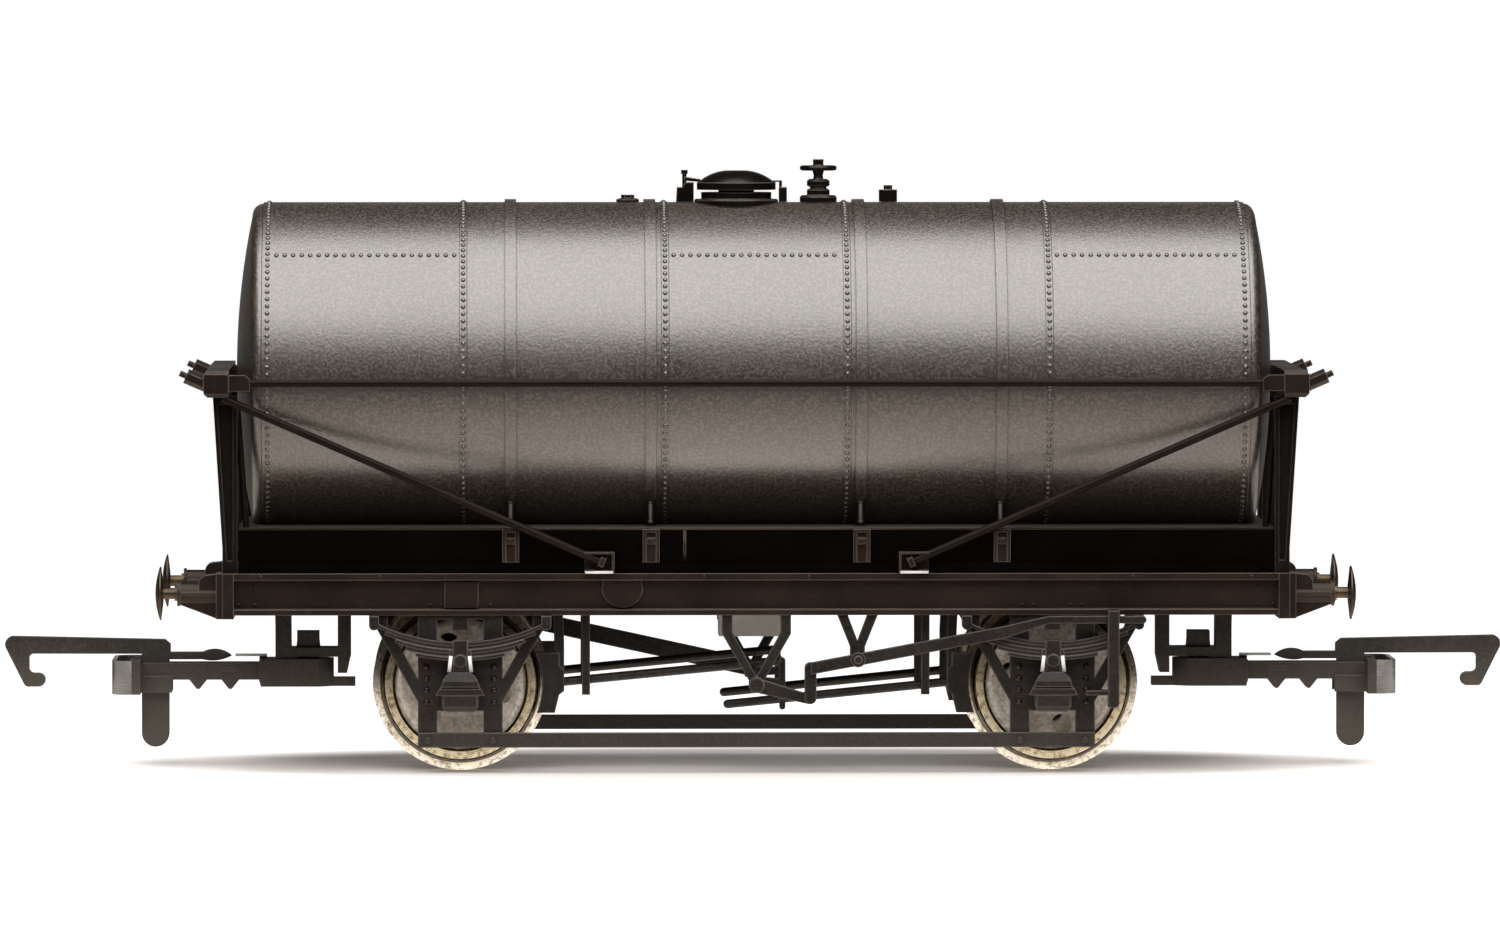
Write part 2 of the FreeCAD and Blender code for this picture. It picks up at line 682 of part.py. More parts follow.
def filler_plug():
    """The low plug on its pad."""
    pad = spun([(0, TANK_TOP - 0.2), (PLUG_R, TANK_TOP - 0.2), (PLUG_R, TANK_TOP + PLUG_H - 0.1),
                (PLUG_R - 0.2, TANK_TOP + PLUG_H), (0, TANK_TOP + PLUG_H)], (PLUG_X, 0, 0), Z_AXIS)
    nut = hexagon(PLUG_R, (PLUG_X, 0), TANK_TOP + PLUG_H - 0.1, TANK_TOP + PLUG_H + NUT_H * 0.8)
    return joined([pad, nut]).cut(skin(PLUG_X, PLUG_R + 1))


def diagonal_line():
    """The slanted stay's foot, its upper end and its direction, as (x, z) pairs."""
    foot = (ANCHOR_X, SOLEBAR_TOP + ANCHOR_LINE)
    top = (BEAM_INNER + DIAGONAL_END, BEAM_LOW - 0.05)
    length = math.hypot(top[0] - foot[0], top[1] - foot[1])
    return foot, top, ((top[0] - foot[0]) / length, (top[1] - foot[1]) / length)


def end_beam():
    """The cross beam behind the tank's end: bevelled ends, stay lugs and the stays' nuts."""
    section = [(BEAM_INNER, BEAM_LOW), (BEAM_OUTER - BEAM_EDGE, BEAM_LOW), (BEAM_OUTER, BEAM_LOW + BEAM_EDGE),
               (BEAM_OUTER, BEAM_TOP - BEAM_EDGE), (BEAM_OUTER - BEAM_EDGE, BEAM_TOP), (BEAM_INNER, BEAM_TOP)]
    half = BEAM_HALF
    shape = end_plate([(-half, BEAM_LOW + BEAM_BEVEL), (-half, BEAM_TOP - BEAM_BEVEL), (-half + BEAM_BEVEL, BEAM_TOP),
                       (half - BEAM_BEVEL, BEAM_TOP), (half, BEAM_TOP - BEAM_BEVEL), (half, BEAM_LOW + BEAM_BEVEL),
                       (half - BEAM_BEVEL, BEAM_LOW), (-half + BEAM_BEVEL, BEAM_LOW)], (BEAM_INNER, BEAM_OUTER))
    pieces = [side_plate(section, (-half, half)).common(shape)]
    ahead = diagonal_line()[2]
    lug_low = SIDE_STAY_Z - LUG_H / 2
    for side in (-1, 1):
        y = side * STAY_Y
        start = (BEAM_OUTER - BEAM_EDGE, y, BEAM_LOW + STAY_NUT_RISE)
        length = BEAM_EDGE + STAY_NUT_L
        reach = length + STUB_L
        pieces.append(slanted_nut(STAY_NUT_ACROSS, start, ahead, length))
        pieces.append(rod(STUB_R, start, (start[0] + reach * ahead[0], y, start[2] + reach * ahead[1])))
        lug_end = BEAM_INNER - LUG_L
        pieces.append(side_plate([(BEAM_INNER, lug_low), (BEAM_INNER, lug_low + LUG_H),
                                  (lug_end + 0.4, lug_low + LUG_H), (lug_end, lug_low + LUG_H - 0.3),
                                  (lug_end, lug_low)], (y - LUG_HALF, y + LUG_HALF)))
    return joined(pieces)


def end_posts():
    """The two fluted posts under the cross beam and their slanted brace rods down to the cradle."""
    inner = BARREL_HALF + KNUCKLE + POST_CLEAR
    head = BEAM_INNER + POST_OUT
    pieces = []
    for side in (-1, 1):
        y = side * POST_Y
        post = side_plate([(inner, SOLEBAR_TOP), (FRAME_END, SOLEBAR_TOP), (FRAME_END, SOLEBAR_TOP + 2),
                           (head, BEAM_LOW), (inner, BEAM_LOW)], (y - POST_W / 2, y + POST_W / 2))
        for face in (-1, 1):
            groove = side_plate([(inner + 0.35, SOLEBAR_TOP + 1), (FRAME_END - 0.35, SOLEBAR_TOP + 1),
                                 (head - 0.35, BEAM_LOW - 0.6), (inner + 0.35, BEAM_LOW - 0.6)],
                                (y + face * (POST_W / 2 - POST_FLUTE) - POST_FLUTE,
                                 y + face * (POST_W / 2 - POST_FLUTE) + POST_FLUTE))
            post = post.cut(groove)
        brace = rod(BRACE_R, (inner, y, BEAM_LOW - BRACE_DROP), (CRADLE_HALF - 0.6, y, CRADLE_TOP - 0.1))
        brace = brace.cut(post).cut(block((0, CRADLE_HALF), (-CRADLE_FACE, CRADLE_FACE), (SOLEBAR_TOP, CRADLE_TOP)))
        pieces.extend([post, brace])
    return group(pieces)


def side_stays():
    """The two level rods along the tank's sides, from one cross beam's lugs to the other's."""
    reach = BEAM_INNER - LUG_L
    return group([rod(SIDE_STAY_R, (-reach, side * STAY_Y, SIDE_STAY_Z), (reach, side * STAY_Y, SIDE_STAY_Z))
                  for side in (-1, 1)])


def diagonal_stay():
    """A slanted rod from under the cross beam down to the anchor on the solebar."""
    foot, top = diagonal_line()[:2]
    bar = rod(DIAGONAL_R, (foot[0], -STAY_FOOT_Y, foot[1]), (top[0], -STAY_Y, top[1]))
    return bar.cut(end_beam())


def stay_anchor():
    """The open bracket on the solebar that a diagonal stay enters, with the stay's nut inside."""
    half = ANCHOR_W / 2
    low = SOLEBAR_TOP
    top = low + ANCHOR_H
    y = (-STAY_FOOT_Y - DIAGONAL_R - ANCHOR_LIP, -CRADLE_FACE)
    inner = ANCHOR_X - half
    pieces = [block((inner, ANCHOR_X + half), y, (low, low + ANCHOR_BASE_T)),
              block((inner, inner + ANCHOR_WALL), y, (low, top)),
              block((inner, ANCHOR_X + half), y, (top - ANCHOR_WALL, top)),
              block((inner, ANCHOR_X + half), (-CRADLE_FACE - ANCHOR_WALL, -CRADLE_FACE), (low, top))]
    foot, ahead = diagonal_line()[0], diagonal_line()[2]
    nut = slanted_nut(DIAGONAL_R * 3, (foot[0], -STAY_FOOT_Y, foot[1]), (-ahead[0], -ahead[1]), ANCHOR_NUT_L)
    room = block((inner, ANCHOR_X + half), y, (low, top))
    return joined(pieces + [nut.common(room)]).cut(diagonal_stay())


def solebar():
    """A channel along the near side, open outwards, with its two bare plates."""
    web = SOLEBAR_FACE - SOLEBAR_LIP
    low = SOLEBAR_LOW + SOLEBAR_LOW_T
    top = SOLEBAR_TOP - SOLEBAR_TOP_T
    section = [(-SOLEBAR_BACK, SOLEBAR_LOW), (-SOLEBAR_FACE, SOLEBAR_LOW), (-SOLEBAR_FACE, low), (-web, low),
               (-web, top), (-SOLEBAR_FACE, top), (-SOLEBAR_FACE, SOLEBAR_TOP), (-SOLEBAR_BACK, SOLEBAR_TOP)]
    channel = end_plate(section, (-SOLEBAR_END, SOLEBAR_END))
    y = (-web - PLATE_T, -web)
    square = block((SQUARE_PLATE_X - SQUARE_PLATE_W / 2, SQUARE_PLATE_X + SQUARE_PLATE_W / 2), y,
                   (low + PLATE_MARGIN, top - PLATE_MARGIN))
    half = ROUND_PLATE_W / 2
    x = ROUND_PLATE_X
    plate = side_plate([(x - half, top - 0.75), (x, low + PLATE_MARGIN, x + half, top - 0.75),
                        (x + half * 0.92, top), (x - half * 0.92, top)], y)
    return joined([channel, square, plate])


def headstock():
    """The cross member at the right-hand end."""
    half = SOLEBAR_FACE + HEADSTOCK_OVER
    return block((SOLEBAR_END, FRAME_END), (-half, half), (SOLEBAR_LOW - HEADSTOCK_SKIRT, SOLEBAR_TOP))


def chassis_floor():
    """The floor plate between the solebars and headstocks."""
    return block((-SOLEBAR_END, SOLEBAR_END), (-SOLEBAR_BACK, SOLEBAR_BACK), (FLOOR_LOW, SOLEBAR_TOP))


def buffer_housing(side):
    """A base plate, the tube, the web under it and the curved fairing above its root."""
    y = side * BUFFER_Y
    z = SOLEBAR_LOW + BUFFER_RISE
    low = SOLEBAR_LOW - HEADSTOCK_SKIRT
    end = FRAME_END + BUFFER_TUBE_L
    base = block((FRAME_END, FRAME_END + BUFFER_BASE_T), (y - BUFFER_BASE_HALF, y + BUFFER_BASE_HALF),
                 (low, SOLEBAR_TOP))
    tube = rod(BUFFER_TUBE_R, (FRAME_END, y, z), (end, y, z))
    collar = rod(BUFFER_TUBE_R + 0.12, (end - BUFFER_COLLAR, y, z), (end, y, z))
    web = side_plate([(FRAME_END, low), (FRAME_END + BUFFER_BASE_T, low), (end, z - BUFFER_TUBE_R + 0.1),
                      (end, z), (FRAME_END, z)], (y - 0.55, y + 0.55))
    root = FRAME_END + BUFFER_FAIRING_L
    fairing = side_plate([(FRAME_END, z), (root, z), (root, z + BUFFER_TUBE_R),
                          (root - 0.2, z + BUFFER_TUBE_R + 0.4, root - 0.8, z + BUFFER_TUBE_R + 0.62),
                          (FRAME_END, SOLEBAR_TOP)], (y - 0.85, y + 0.85))
    ribs = [rod(0.14, (FRAME_END, y + k * BUFFER_TUBE_R, z), (end - 0.3, y + k * BUFFER_TUBE_R, z)) for k in (-1, 1)]
    return joined([base, tube, collar, web, fairing] + ribs)


def buffer_head(side):
    """A round head with a domed face, on its shank."""
    y = side * BUFFER_Y
    z = SOLEBAR_LOW + BUFFER_RISE
    root = FRAME_END + BUFFER_TUBE_L
    back = root + BUFFER_SHANK_L
    face = back + BUFFER_HEAD_T
    profile = [(0, root), (BUFFER_SHANK_R + 0.15, root), (BUFFER_SHANK_R + 0.15, root + 0.2),
               (BUFFER_SHANK_R, root + 0.2), (BUFFER_SHANK_R, back), (BUFFER_SHANK_R + 0.3, back), (BUFFER_HEAD_R, back + 0.18),
               (BUFFER_HEAD_R, back + 0.28), crown(BUFFER_HEAD_R, back + 0.28, face)]
    return spun(profile, (0, y, z), X_AXIS)


def axle():
    """A pin-point axle for one wheelset."""
    profile = [(0, -AXLE_HALF), (AXLE_TIP_R, -AXLE_HALF), (AXLE_R, -AXLE_HALF + AXLE_CONE),
               (AXLE_R, AXLE_HALF - AXLE_CONE), (AXLE_TIP_R, AXLE_HALF), (0, AXLE_HALF)]
    return spun(profile, (AXLE_X, 0, AXLE_Z), Y_AXIS)


def bearing_space():
    """The space that an axle turns in, a running gap larger than the axle all round."""
    half = AXLE_HALF + BEARING_GAP
    reach = AXLE_R + BEARING_GAP
    tip = AXLE_TIP_R + BEARING_GAP
    profile = [(0, -half), (tip, -half), (reach, -half + AXLE_CONE), (reach, half - AXLE_CONE), (tip, half),
               (0, half)]
    return spun(profile, (AXLE_X, 0, AXLE_Z), Y_AXIS)


def tyre(side):
    """A metal tyre: the flange at the wheel's back, a slightly coned tread and a stepped face."""
    profile = [(TYRE_INNER_R, WHEEL_BACK), (FLANGE_R - 0.2, WHEEL_BACK), (FLANGE_R, WHEEL_BACK + 0.25),
               (FLANGE_R, WHEEL_BACK + FLANGE_W - 0.35), (TREAD_R + 0.2, WHEEL_BACK + FLANGE_W),
               (TREAD_R + 0.05, WHEEL_BACK + FLANGE_W + 0.2),
               (TREAD_R, WHEEL_FACE - 0.2), (TREAD_R - 0.12, WHEEL_FACE), (TYRE_INNER_R + TYRE_GROOVE, WHEEL_FACE),
               (TYRE_INNER_R + TYRE_GROOVE, WHEEL_FACE - 0.15), (TYRE_INNER_R, WHEEL_FACE - 0.15)]
    return spun([(r, side * d) for r, d in profile], (AXLE_X, 0, AXLE_Z), Y_AXIS)


def wheel_disc(side, first_hole):
    """A moulded disc inside the tyre, dished on its face, with a hub and three round holes."""
    back = WHEEL_BACK + DISC_INSET
    face = WHEEL_FACE - DISC_RECESS
    mid = (HUB_R + TYRE_INNER_R) / 2
    profile = [(AXLE_R, back), (TYRE_INNER_R, back), (TYRE_INNER_R, face - 0.15), (TYRE_INNER_R - 0.25, face),
               (TYRE_INNER_R - 0.5, face), (mid, face - DISC_DISH, HUB_R + 0.2, face), (HUB_R, face + 0.25),
               (AXLE_R, face + 0.25)]
    disc = spun([(item[0], side * item[1]) + tuple(v * (side if k else 1) for k, v in enumerate(item[2:]))
                 for item in profile], (AXLE_X, 0, AXLE_Z), Y_AXIS)
    for k in range(3):
        angle = math.radians(first_hole + 120 * k)
        x = AXLE_X + DISC_HOLE_PITCH_R * math.cos(angle)
        z = AXLE_Z + DISC_HOLE_PITCH_R * math.sin(angle)
        disc = disc.cut(rod(DISC_HOLE_R, (x, side * (back - 1), z), (x, side * (face + 1), z)))
    return disc


def w_iron():
    """The plate behind an axlebox: two upright legs, two slanted wings and the stop over the spring."""
    y = (-W_IRON_OUTER, -W_IRON_INNER)
    low = AXLE_Z - TIE_BAR_UNDER
    foot = AXLE_Z - W_WING_FOOT
    pieces = [block((AXLE_X - W_LEG_OUT, AXLE_X + W_LEG_OUT), y, (BOX_LOW, AXLE_Z + W_PLATE_TOP)),
              block((AXLE_X - W_LEG_OUT, AXLE_X + W_LEG_OUT), y, (SOLEBAR_LOW - 0.35, SOLEBAR_LOW)),
              block((AXLE_X - STOP_HALF, AXLE_X + STOP_HALF), y, (SOLEBAR_LOW - STOP_H, SOLEBAR_LOW))]
    for side in (-1, 1):
        x = sorted((AXLE_X + side * W_LEG_IN, AXLE_X + side * W_LEG_OUT))
        pieces.append(block(x, y, (low, SOLEBAR_LOW)))
        inner = W_WING_TOP - W_WING_W
        root = AXLE_X + side * (W_LEG_OUT - 0.1)
        pieces.append(side_plate([(root, foot), (AXLE_X + side * W_WING_TOP, SOLEBAR_LOW - 1.0),
                                  (AXLE_X + side * W_WING_TOP, SOLEBAR_LOW), (AXLE_X + side * inner, SOLEBAR_LOW),
                                  (AXLE_X + side * inner, SOLEBAR_LOW - 0.9), (root, foot + W_WING_W * 2)], y))
    return joined(pieces).cut(bearing_space())


def leaf_spring():
    """A stack of leaves, each shorter than the one above, in a buckle, with a shoe at each end."""
    radius = (SPRING_HALF ** 2 + SPRING_CAMBER ** 2) / (2 * SPRING_CAMBER)
    centre_z = SPRING_MID_Z + radius
    y = (-SPRING_FACE, -SPRING_BACK)
    pieces = []
    for k in range(LEAF_COUNT):
        inner = radius + k * LEAF_T
        outer = inner + LEAF_T
        angle = math.asin((SPRING_HALF - k * LEAF_STEP) / inner)
        a, c = math.sin(angle), math.cos(angle)
        face = (y[0] + LEAF_SHY * (k % 2), y[1])
        pieces.append(side_plate([(AXLE_X - inner * a, centre_z - inner * c),
                                  (AXLE_X, centre_z - inner, AXLE_X + inner * a, centre_z - inner * c),
                                  (AXLE_X + outer * a, centre_z - outer * c),
                                  (AXLE_X, centre_z - outer, AXLE_X - outer * a, centre_z - outer * c)], face))
    pieces.append(block((AXLE_X - BUCKLE_HALF, AXLE_X + BUCKLE_HALF), (y[0] - 0.15, y[1] + 0.05),
                        (BOX_TOP, SPRING_MID_Z + 0.15)))
    boss_z = SPRING_MID_Z - LEAF_COUNT * LEAF_T
    pieces.append(rod(0.5, (AXLE_X, y[0] - 0.3, boss_z), (AXLE_X, y[0], boss_z)))
    for side in (-1, 1):
        low, top = CLIP_BAR[1], AXLE_Z + CLIP_BAR_TOP
        pieces.append(side_plate([(AXLE_X + side * (low - 0.4), BOX_TOP), (AXLE_X + side * low, BOX_TOP),
                                  (AXLE_X + side * (CLIP_BAR[0] + 0.2), top), (AXLE_X + side * CLIP_BAR[0], top)],
                                 (y[0] - 0.1, y[1])))
    for side in (-1, 1):
        x = AXLE_X + side * (SPRING_HALF + 0.15)
        half = SHOE_W / 2
        pieces.append(side_plate([(x - half, SOLEBAR_LOW), (x + half, SOLEBAR_LOW),
                                  (x + half, SOLEBAR_LOW - SHOE_H + half),
                                  (x, SOLEBAR_LOW - SHOE_H, x - half, SOLEBAR_LOW - SHOE_H + half)],
                                 (y[0], -W_IRON_OUTER)))
    return joined(pieces)


def axlebox():
    """The axlebox: its body, the raised lip and the rounded cover on its front."""
    depth = W_IRON_OUTER + BOX_DEPTH
    front = depth + BOX_FRONT
    body = side_plate([(AXLE_X - BOX_HALF + 0.15, BOX_LOW + 0.4), (AXLE_X - BOX_HALF + 0.5, BOX_LOW),
                       (AXLE_X + BOX_HALF - 0.5, BOX_LOW), (AXLE_X + BOX_HALF - 0.15, BOX_LOW + 0.4),
                       (AXLE_X + BOX_HALF, AXLE_Z), (AXLE_X + COVER_TOP_HALF, BOX_TOP),
                       (AXLE_X - COVER_TOP_HALF, BOX_TOP), (AXLE_X - BOX_HALF, AXLE_Z)], (-depth, -W_IRON_OUTER))
    lip_low = AXLE_Z - LIP_UNDER
    lip = side_plate([(AXLE_X - LIP_HALF, lip_low), (AXLE_X + LIP_HALF, lip_low),
                      (AXLE_X + LIP_HALF - 0.25, lip_low + LIP_H), (AXLE_X - LIP_HALF + 0.25, lip_low + LIP_H)],
                     (-front + 0.1, -W_IRON_OUTER - 0.6))
    lower = end_plate([(-depth, BOX_LOW + 0.1), (-front + 0.35, BOX_LOW + 0.4), (-front + 0.2, lip_low),
                       (-depth, lip_low)], (AXLE_X - 1.35, AXLE_X + 1.35))
    cover_low = lip_low + LIP_H + COVER_GAP
    cover = side_plate([(AXLE_X - COVER_LOW_HALF, cover_low), (AXLE_X + COVER_LOW_HALF, cover_low),
                        (AXLE_X + COVER_LOW_HALF - 0.25, BOX_TOP - 0.4, AXLE_X + COVER_TOP_HALF, BOX_TOP),
                        (AXLE_X - COVER_TOP_HALF, BOX_TOP),
                        (AXLE_X - COVER_LOW_HALF + 0.25, BOX_TOP - 0.4, AXLE_X - COVER_LOW_HALF, cover_low)],
                       (-front, -depth + 0.2))
    slope = end_plate([(-front, cover_low), (-depth + 0.2, cover_low), (-depth + 0.2, BOX_TOP),
                       (-front + 0.4, BOX_TOP), (-front, cover_low + 0.5)],
                      (AXLE_X - LIP_HALF, AXLE_X + LIP_HALF))
    return joined([body, lip, lower, cover.common(slope)]).cut(bearing_space())


def tie_bar():
    """The flat bar that ties the W-irons of one side together."""
    half = AXLE_X + W_LEG_OUT
    low = AXLE_Z - TIE_BAR_UNDER
    return block((-half, half), (-W_IRON_OUTER - TIE_BAR_T, -W_IRON_OUTER), (low, low + TIE_BAR_H))


def v_hanger():
    """The V-shaped hanger for the cross shaft: two kneed legs and a round boss."""
    y = (-V_OUTER, -V_INNER)
    knee = SOLEBAR_LOW - V_KNEE
    half = V_LEG_W / 2
    pieces = [rod(V_BOSS_R, (0, -V_OUTER - 0.25, SHAFT_Z), (0, -V_INNER, SHAFT_Z))]
    for side in (-1, 1):
        outline = [(side * (V_LEG_X + half), SOLEBAR_LOW), (side * (V_LEG_X + half), knee), (side * half, SHAFT_Z),
                   (-side * half * 0.6, SHAFT_Z + 0.2), (side * (V_LEG_X - half), knee + 0.1),
                   (side * (V_LEG_X - half), SOLEBAR_LOW)]
        pieces.append(side_plate(outline, y))
    hole = rod(SHAFT_R + SKIN_GAP, (0, -SOLEBAR_FACE - 3, SHAFT_Z), (0, 0, SHAFT_Z))
    return joined(pieces).cut(hole)


def second_hanger():
    """The smaller hanger that carries the near lever's pivot bolt: a V on a round boss."""
    y = (-V_OUTER, -V_INNER)
    half = SECOND_V_W / 2
    fork = PIVOT_Z + SECOND_V_RISE
    pieces = [rod(PIVOT_BOSS_R, (PIVOT_X, -V_OUTER, PIVOT_Z), (PIVOT_X, -V_INNER, PIVOT_Z))]
    for side in (-1, 1):
        top = PIVOT_X + side * SECOND_V_HALF
        pieces.append(side_plate([(top + side * half, SOLEBAR_LOW), (top - side * half, SOLEBAR_LOW), (PIVOT_X, fork),
                                  (PIVOT_X, PIVOT_Z), (PIVOT_X + side * PIVOT_BOSS_R, PIVOT_Z + 0.1),
                                  (PIVOT_X + side * PIVOT_BOSS_R, fork - 0.5)], y))
    bolt = [(PIVOT_R, -V_OUTER, -LEVER_FACE - 0.35), (PIVOT_BOSS_R, -LEVER_FACE, -LEVER_FACE - 0.2)]
    for radius, back, front in bolt:
        pieces.append(rod(radius, (PIVOT_X, front, PIVOT_Z), (PIVOT_X, back, PIVOT_Z)))
    return joined(pieces)


def rocker():
    """The upright rocking arm on the shaft, in the plane of one side's push rods."""
    y = (-ROD_Y - 0.35, -ROD_Y + 0.35)
    upright = strip(0.5, (ROCKER_X, SHAFT_Z - ROCKER_DOWN - 0.6), (ROCKER_X, SHAFT_Z + ROCKER_UP), y)
    arm = side_plate([(-0.55, SHAFT_Z - 0.5), (ROCKER_X, SHAFT_Z - 0.3), (ROCKER_X, SHAFT_Z + 0.3),
                      (-0.55, SHAFT_Z + 0.5)], y)
    return joined([upright, arm])


def brake_shaft():
    """The cross shaft with both rocking arms and the near side's crank."""
    shaft = rod(SHAFT_R, (0, -V_OUTER - 0.35, SHAFT_Z), (0, LEVER_BACK, SHAFT_Z))
    cap = rod(V_BOSS_R, (0, -V_OUTER - 1.1, SHAFT_Z), (0, -V_OUTER - 0.3, SHAFT_Z))
    crank = side_plate([(-0.5, SHAFT_Z - 0.5), (LINK_X, SHAFT_Z - LINK_FOOT - 0.35),
                        (LINK_X, SHAFT_Z - LINK_FOOT + 0.45), (0.3, SHAFT_Z + 0.5)], (-V_OUTER - 0.85, -V_OUTER - 0.3))
    arm = rocker()
    return joined([shaft, cap, crank, arm, mirrored(arm, Y_AXIS)])


def lever_link():
    """The upright link from the crank to the near lever's short end."""
    return strip(LINK_W, (LINK_X, SHAFT_Z - LINK_FOOT + 0.2), (LINK_X, LINK_TOP_Z), (-LEVER_BACK, -V_OUTER - 0.85))


def push_rods():
    """One side's two push rods, from the rocking arm to the brake shoes."""
    reach = AXLE_X - TREAD_R - BRAKE_GAP - BRAKE_SHOE_T - BRAKE_SHOE_BULGE
    tail = (-ROD_TAIL + ROCKER_X, -ROD_Y, SHAFT_Z - 1.75)
    right = rod(ROD_R, tail, (reach + 0.3, -ROD_Y, SHAFT_Z + 0.05))
    right = joined([right, Part.makeSphere(ROD_R, FreeCAD.Vector(*tail))])
    left = rod(ROD_R, (-reach - 0.3, -ROD_Y, SHAFT_Z + 0.05), (ROCKER_X, -ROD_Y, SHAFT_Z + ROCKER_UP))
    shoe = brake_shoe()
    holders = [rocker(), shoe, mirrored(shoe, X_AXIS)]
    pieces = []
    for piece in (right, left):
        for holder in holders:
            piece = piece.cut(holder)
        pieces.append(piece)
    return group(pieces)


def brake_shoe():
    """The right wheel's shoe, curved round its tread, with the hanger up to the floor."""
    inner = TREAD_R + BRAKE_GAP
    outer = inner + BRAKE_SHOE_T
    y = (-BRAKE_SHOE_Y[1], -BRAKE_SHOE_Y[0])
    up, down = math.radians(BRAKE_SHOE_ABOVE), math.radians(BRAKE_SHOE_BELOW)

    def at(r, angle):
        return (AXLE_X - r * math.cos(angle), AXLE_Z + r * math.sin(angle))
    top, toe = at(inner, up), at(inner, -down)
    waist = AXLE_X - outer
    bulge = waist - BRAKE_SHOE_BULGE
    shoe = side_plate([toe, at(inner, (up - down) / 2) + top, (waist, top[1]), (waist, AXLE_Z + BULGE_OVER + 0.3),
                       (bulge, AXLE_Z + BULGE_OVER), (bulge, AXLE_Z - BULGE_UNDER), (waist, AXLE_Z - BULGE_UNDER - 0.3),
                       (AXLE_X - inner - BRAKE_SHOE_TOE, toe[1])], y)
    x = bulge
    hanger = side_plate([(x, AXLE_Z - BULGE_UNDER), (x + SHOE_HANGER_W, AXLE_Z - BULGE_UNDER),
                         (x + SHOE_HANGER_W, AXLE_Z + 3.4), (x + SHOE_HANGER_W + 0.2, FLOOR_LOW),
                         (x + 0.2, FLOOR_LOW), (x, AXLE_Z + 3.4)], (-ROD_Y - 0.4, -ROD_Y + 0.4))
    return joined([shoe, hanger])


def lever_outline(start, depth):
    """A hand lever's outline: straight from its pivot end, then level and slimmer past the W-iron."""
    half = depth / 2
    level = SOLEBAR_LOW - LEVER_LEVEL
    knee = AXLE_X - LEVER_BEND
    end = AXLE_X + LEVER_END
    low = LEVER_D * 0.31
    return [(start[0], start[1] - half), (LEVER_KNEE[0], LEVER_KNEE[1] - half), (knee, level - low),
            (end, level - low), (end + 0.3, level, end, level + low), (knee, level + low),
            (LEVER_KNEE[0], LEVER_KNEE[1] + half), (start[0], start[1] + half)]


def near_lever():
    """The near side's hand lever, pivoted on the second hanger and linked to the crank."""
    lever = side_plate(lever_outline((LINK_X, LINK_TOP_Z), LEVER_D), (-LEVER_FACE, -LEVER_BACK))
    return lever.cut(rod(PIVOT_R + SKIN_GAP, (PIVOT_X, -LEVER_FACE - 1, PIVOT_Z), (PIVOT_X, 0, PIVOT_Z)))


def far_lever():
    """The far side's hand lever, keyed straight on to the shaft; drawn for the near side."""
    lever = side_plate(lever_outline((0, SHAFT_Z), FAR_LEVER_D), (-LEVER_FACE, -LEVER_BACK))
    boss = rod(V_BOSS_R, (0, -LEVER_FACE - 0.15, SHAFT_Z), (0, -LEVER_BACK, SHAFT_Z))
    return joined([lever, boss])


def lever_guard():
    """The upright loop that the lever moves in, stayed to the W-iron at its foot."""
    x = (AXLE_X + GUARD_OUT[0], AXLE_X + GUARD_OUT[1])
    top = SOLEBAR_LOW + SOLEBAR_LOW_T
    low = top - GUARD_H
    outer_y = (-LEVER_FACE - LEVER_GAP - GUARD_BAR * 1.4, -LEVER_FACE - LEVER_GAP)
    inner = block(x, (-LEVER_BACK + LEVER_GAP, -GUARD_INNER), (low, top))
    mid = (x[0] + x[1]) / 2
    face = side_plate([(x[0], top), (x[0], low + 0.3), (mid - 0.2, low), (mid + 0.2, low), (x[1], low + 0.3),
                       (x[1], top)], outer_y)
    over = block(x, (outer_y[0], -SOLEBAR_FACE), (top - GUARD_BAR, top))
    under = block(x, (outer_y[0], -GUARD_INNER), (low + 0.3, low + 0.3 + GUARD_BAR))
    z = AXLE_Z - GUARD_STAY_Z
    stay = block((AXLE_X + (W_LEG_IN + W_LEG_OUT) / 2, x[0] + 0.1), (-LEVER_BACK + LEVER_GAP, -W_IRON_OUTER),
                 (z - GUARD_STAY_H / 2, z + GUARD_STAY_H / 2))
    return joined([inner, face, over, under, stay])


def safety_hanger(side):
    """A loop from the floor that would catch a fallen push rod."""
    x = side * (AXLE_X - HANGER_IN)
    low = FLOOR_LOW - HANGER_H + 0.1
    half = HANGER_W / 2
    outer = block((x - half, x + half), (-ROD_Y - HANGER_HALF, -ROD_Y + HANGER_HALF), (low, FLOOR_LOW))
    inner = block((x - 1, x + 1), (-ROD_Y - HANGER_HALF + HANGER_T, -ROD_Y + HANGER_HALF - HANGER_T),
                  (low + HANGER_T, FLOOR_LOW + 1))
    return outer.cut(inner)


def discharge_outlet():
    """The outlet under the floor: a short pipe into a square valve block."""
    low = SOLEBAR_LOW - OUTLET_DROP
    half = OUTLET_HALF
    pipe = rod(OUTLET_PIPE_R, (0, 0, low), (0, 0, FLOOR_LOW))
    body = end_plate([(-half, low), (half, low), (half, low + OUTLET_BLOCK - 0.3), (half - 0.4, low + OUTLET_BLOCK),
                      (-half + 0.4, low + OUTLET_BLOCK), (-half, low + OUTLET_BLOCK - 0.3)], (-half, half))
    return joined([pipe, body])


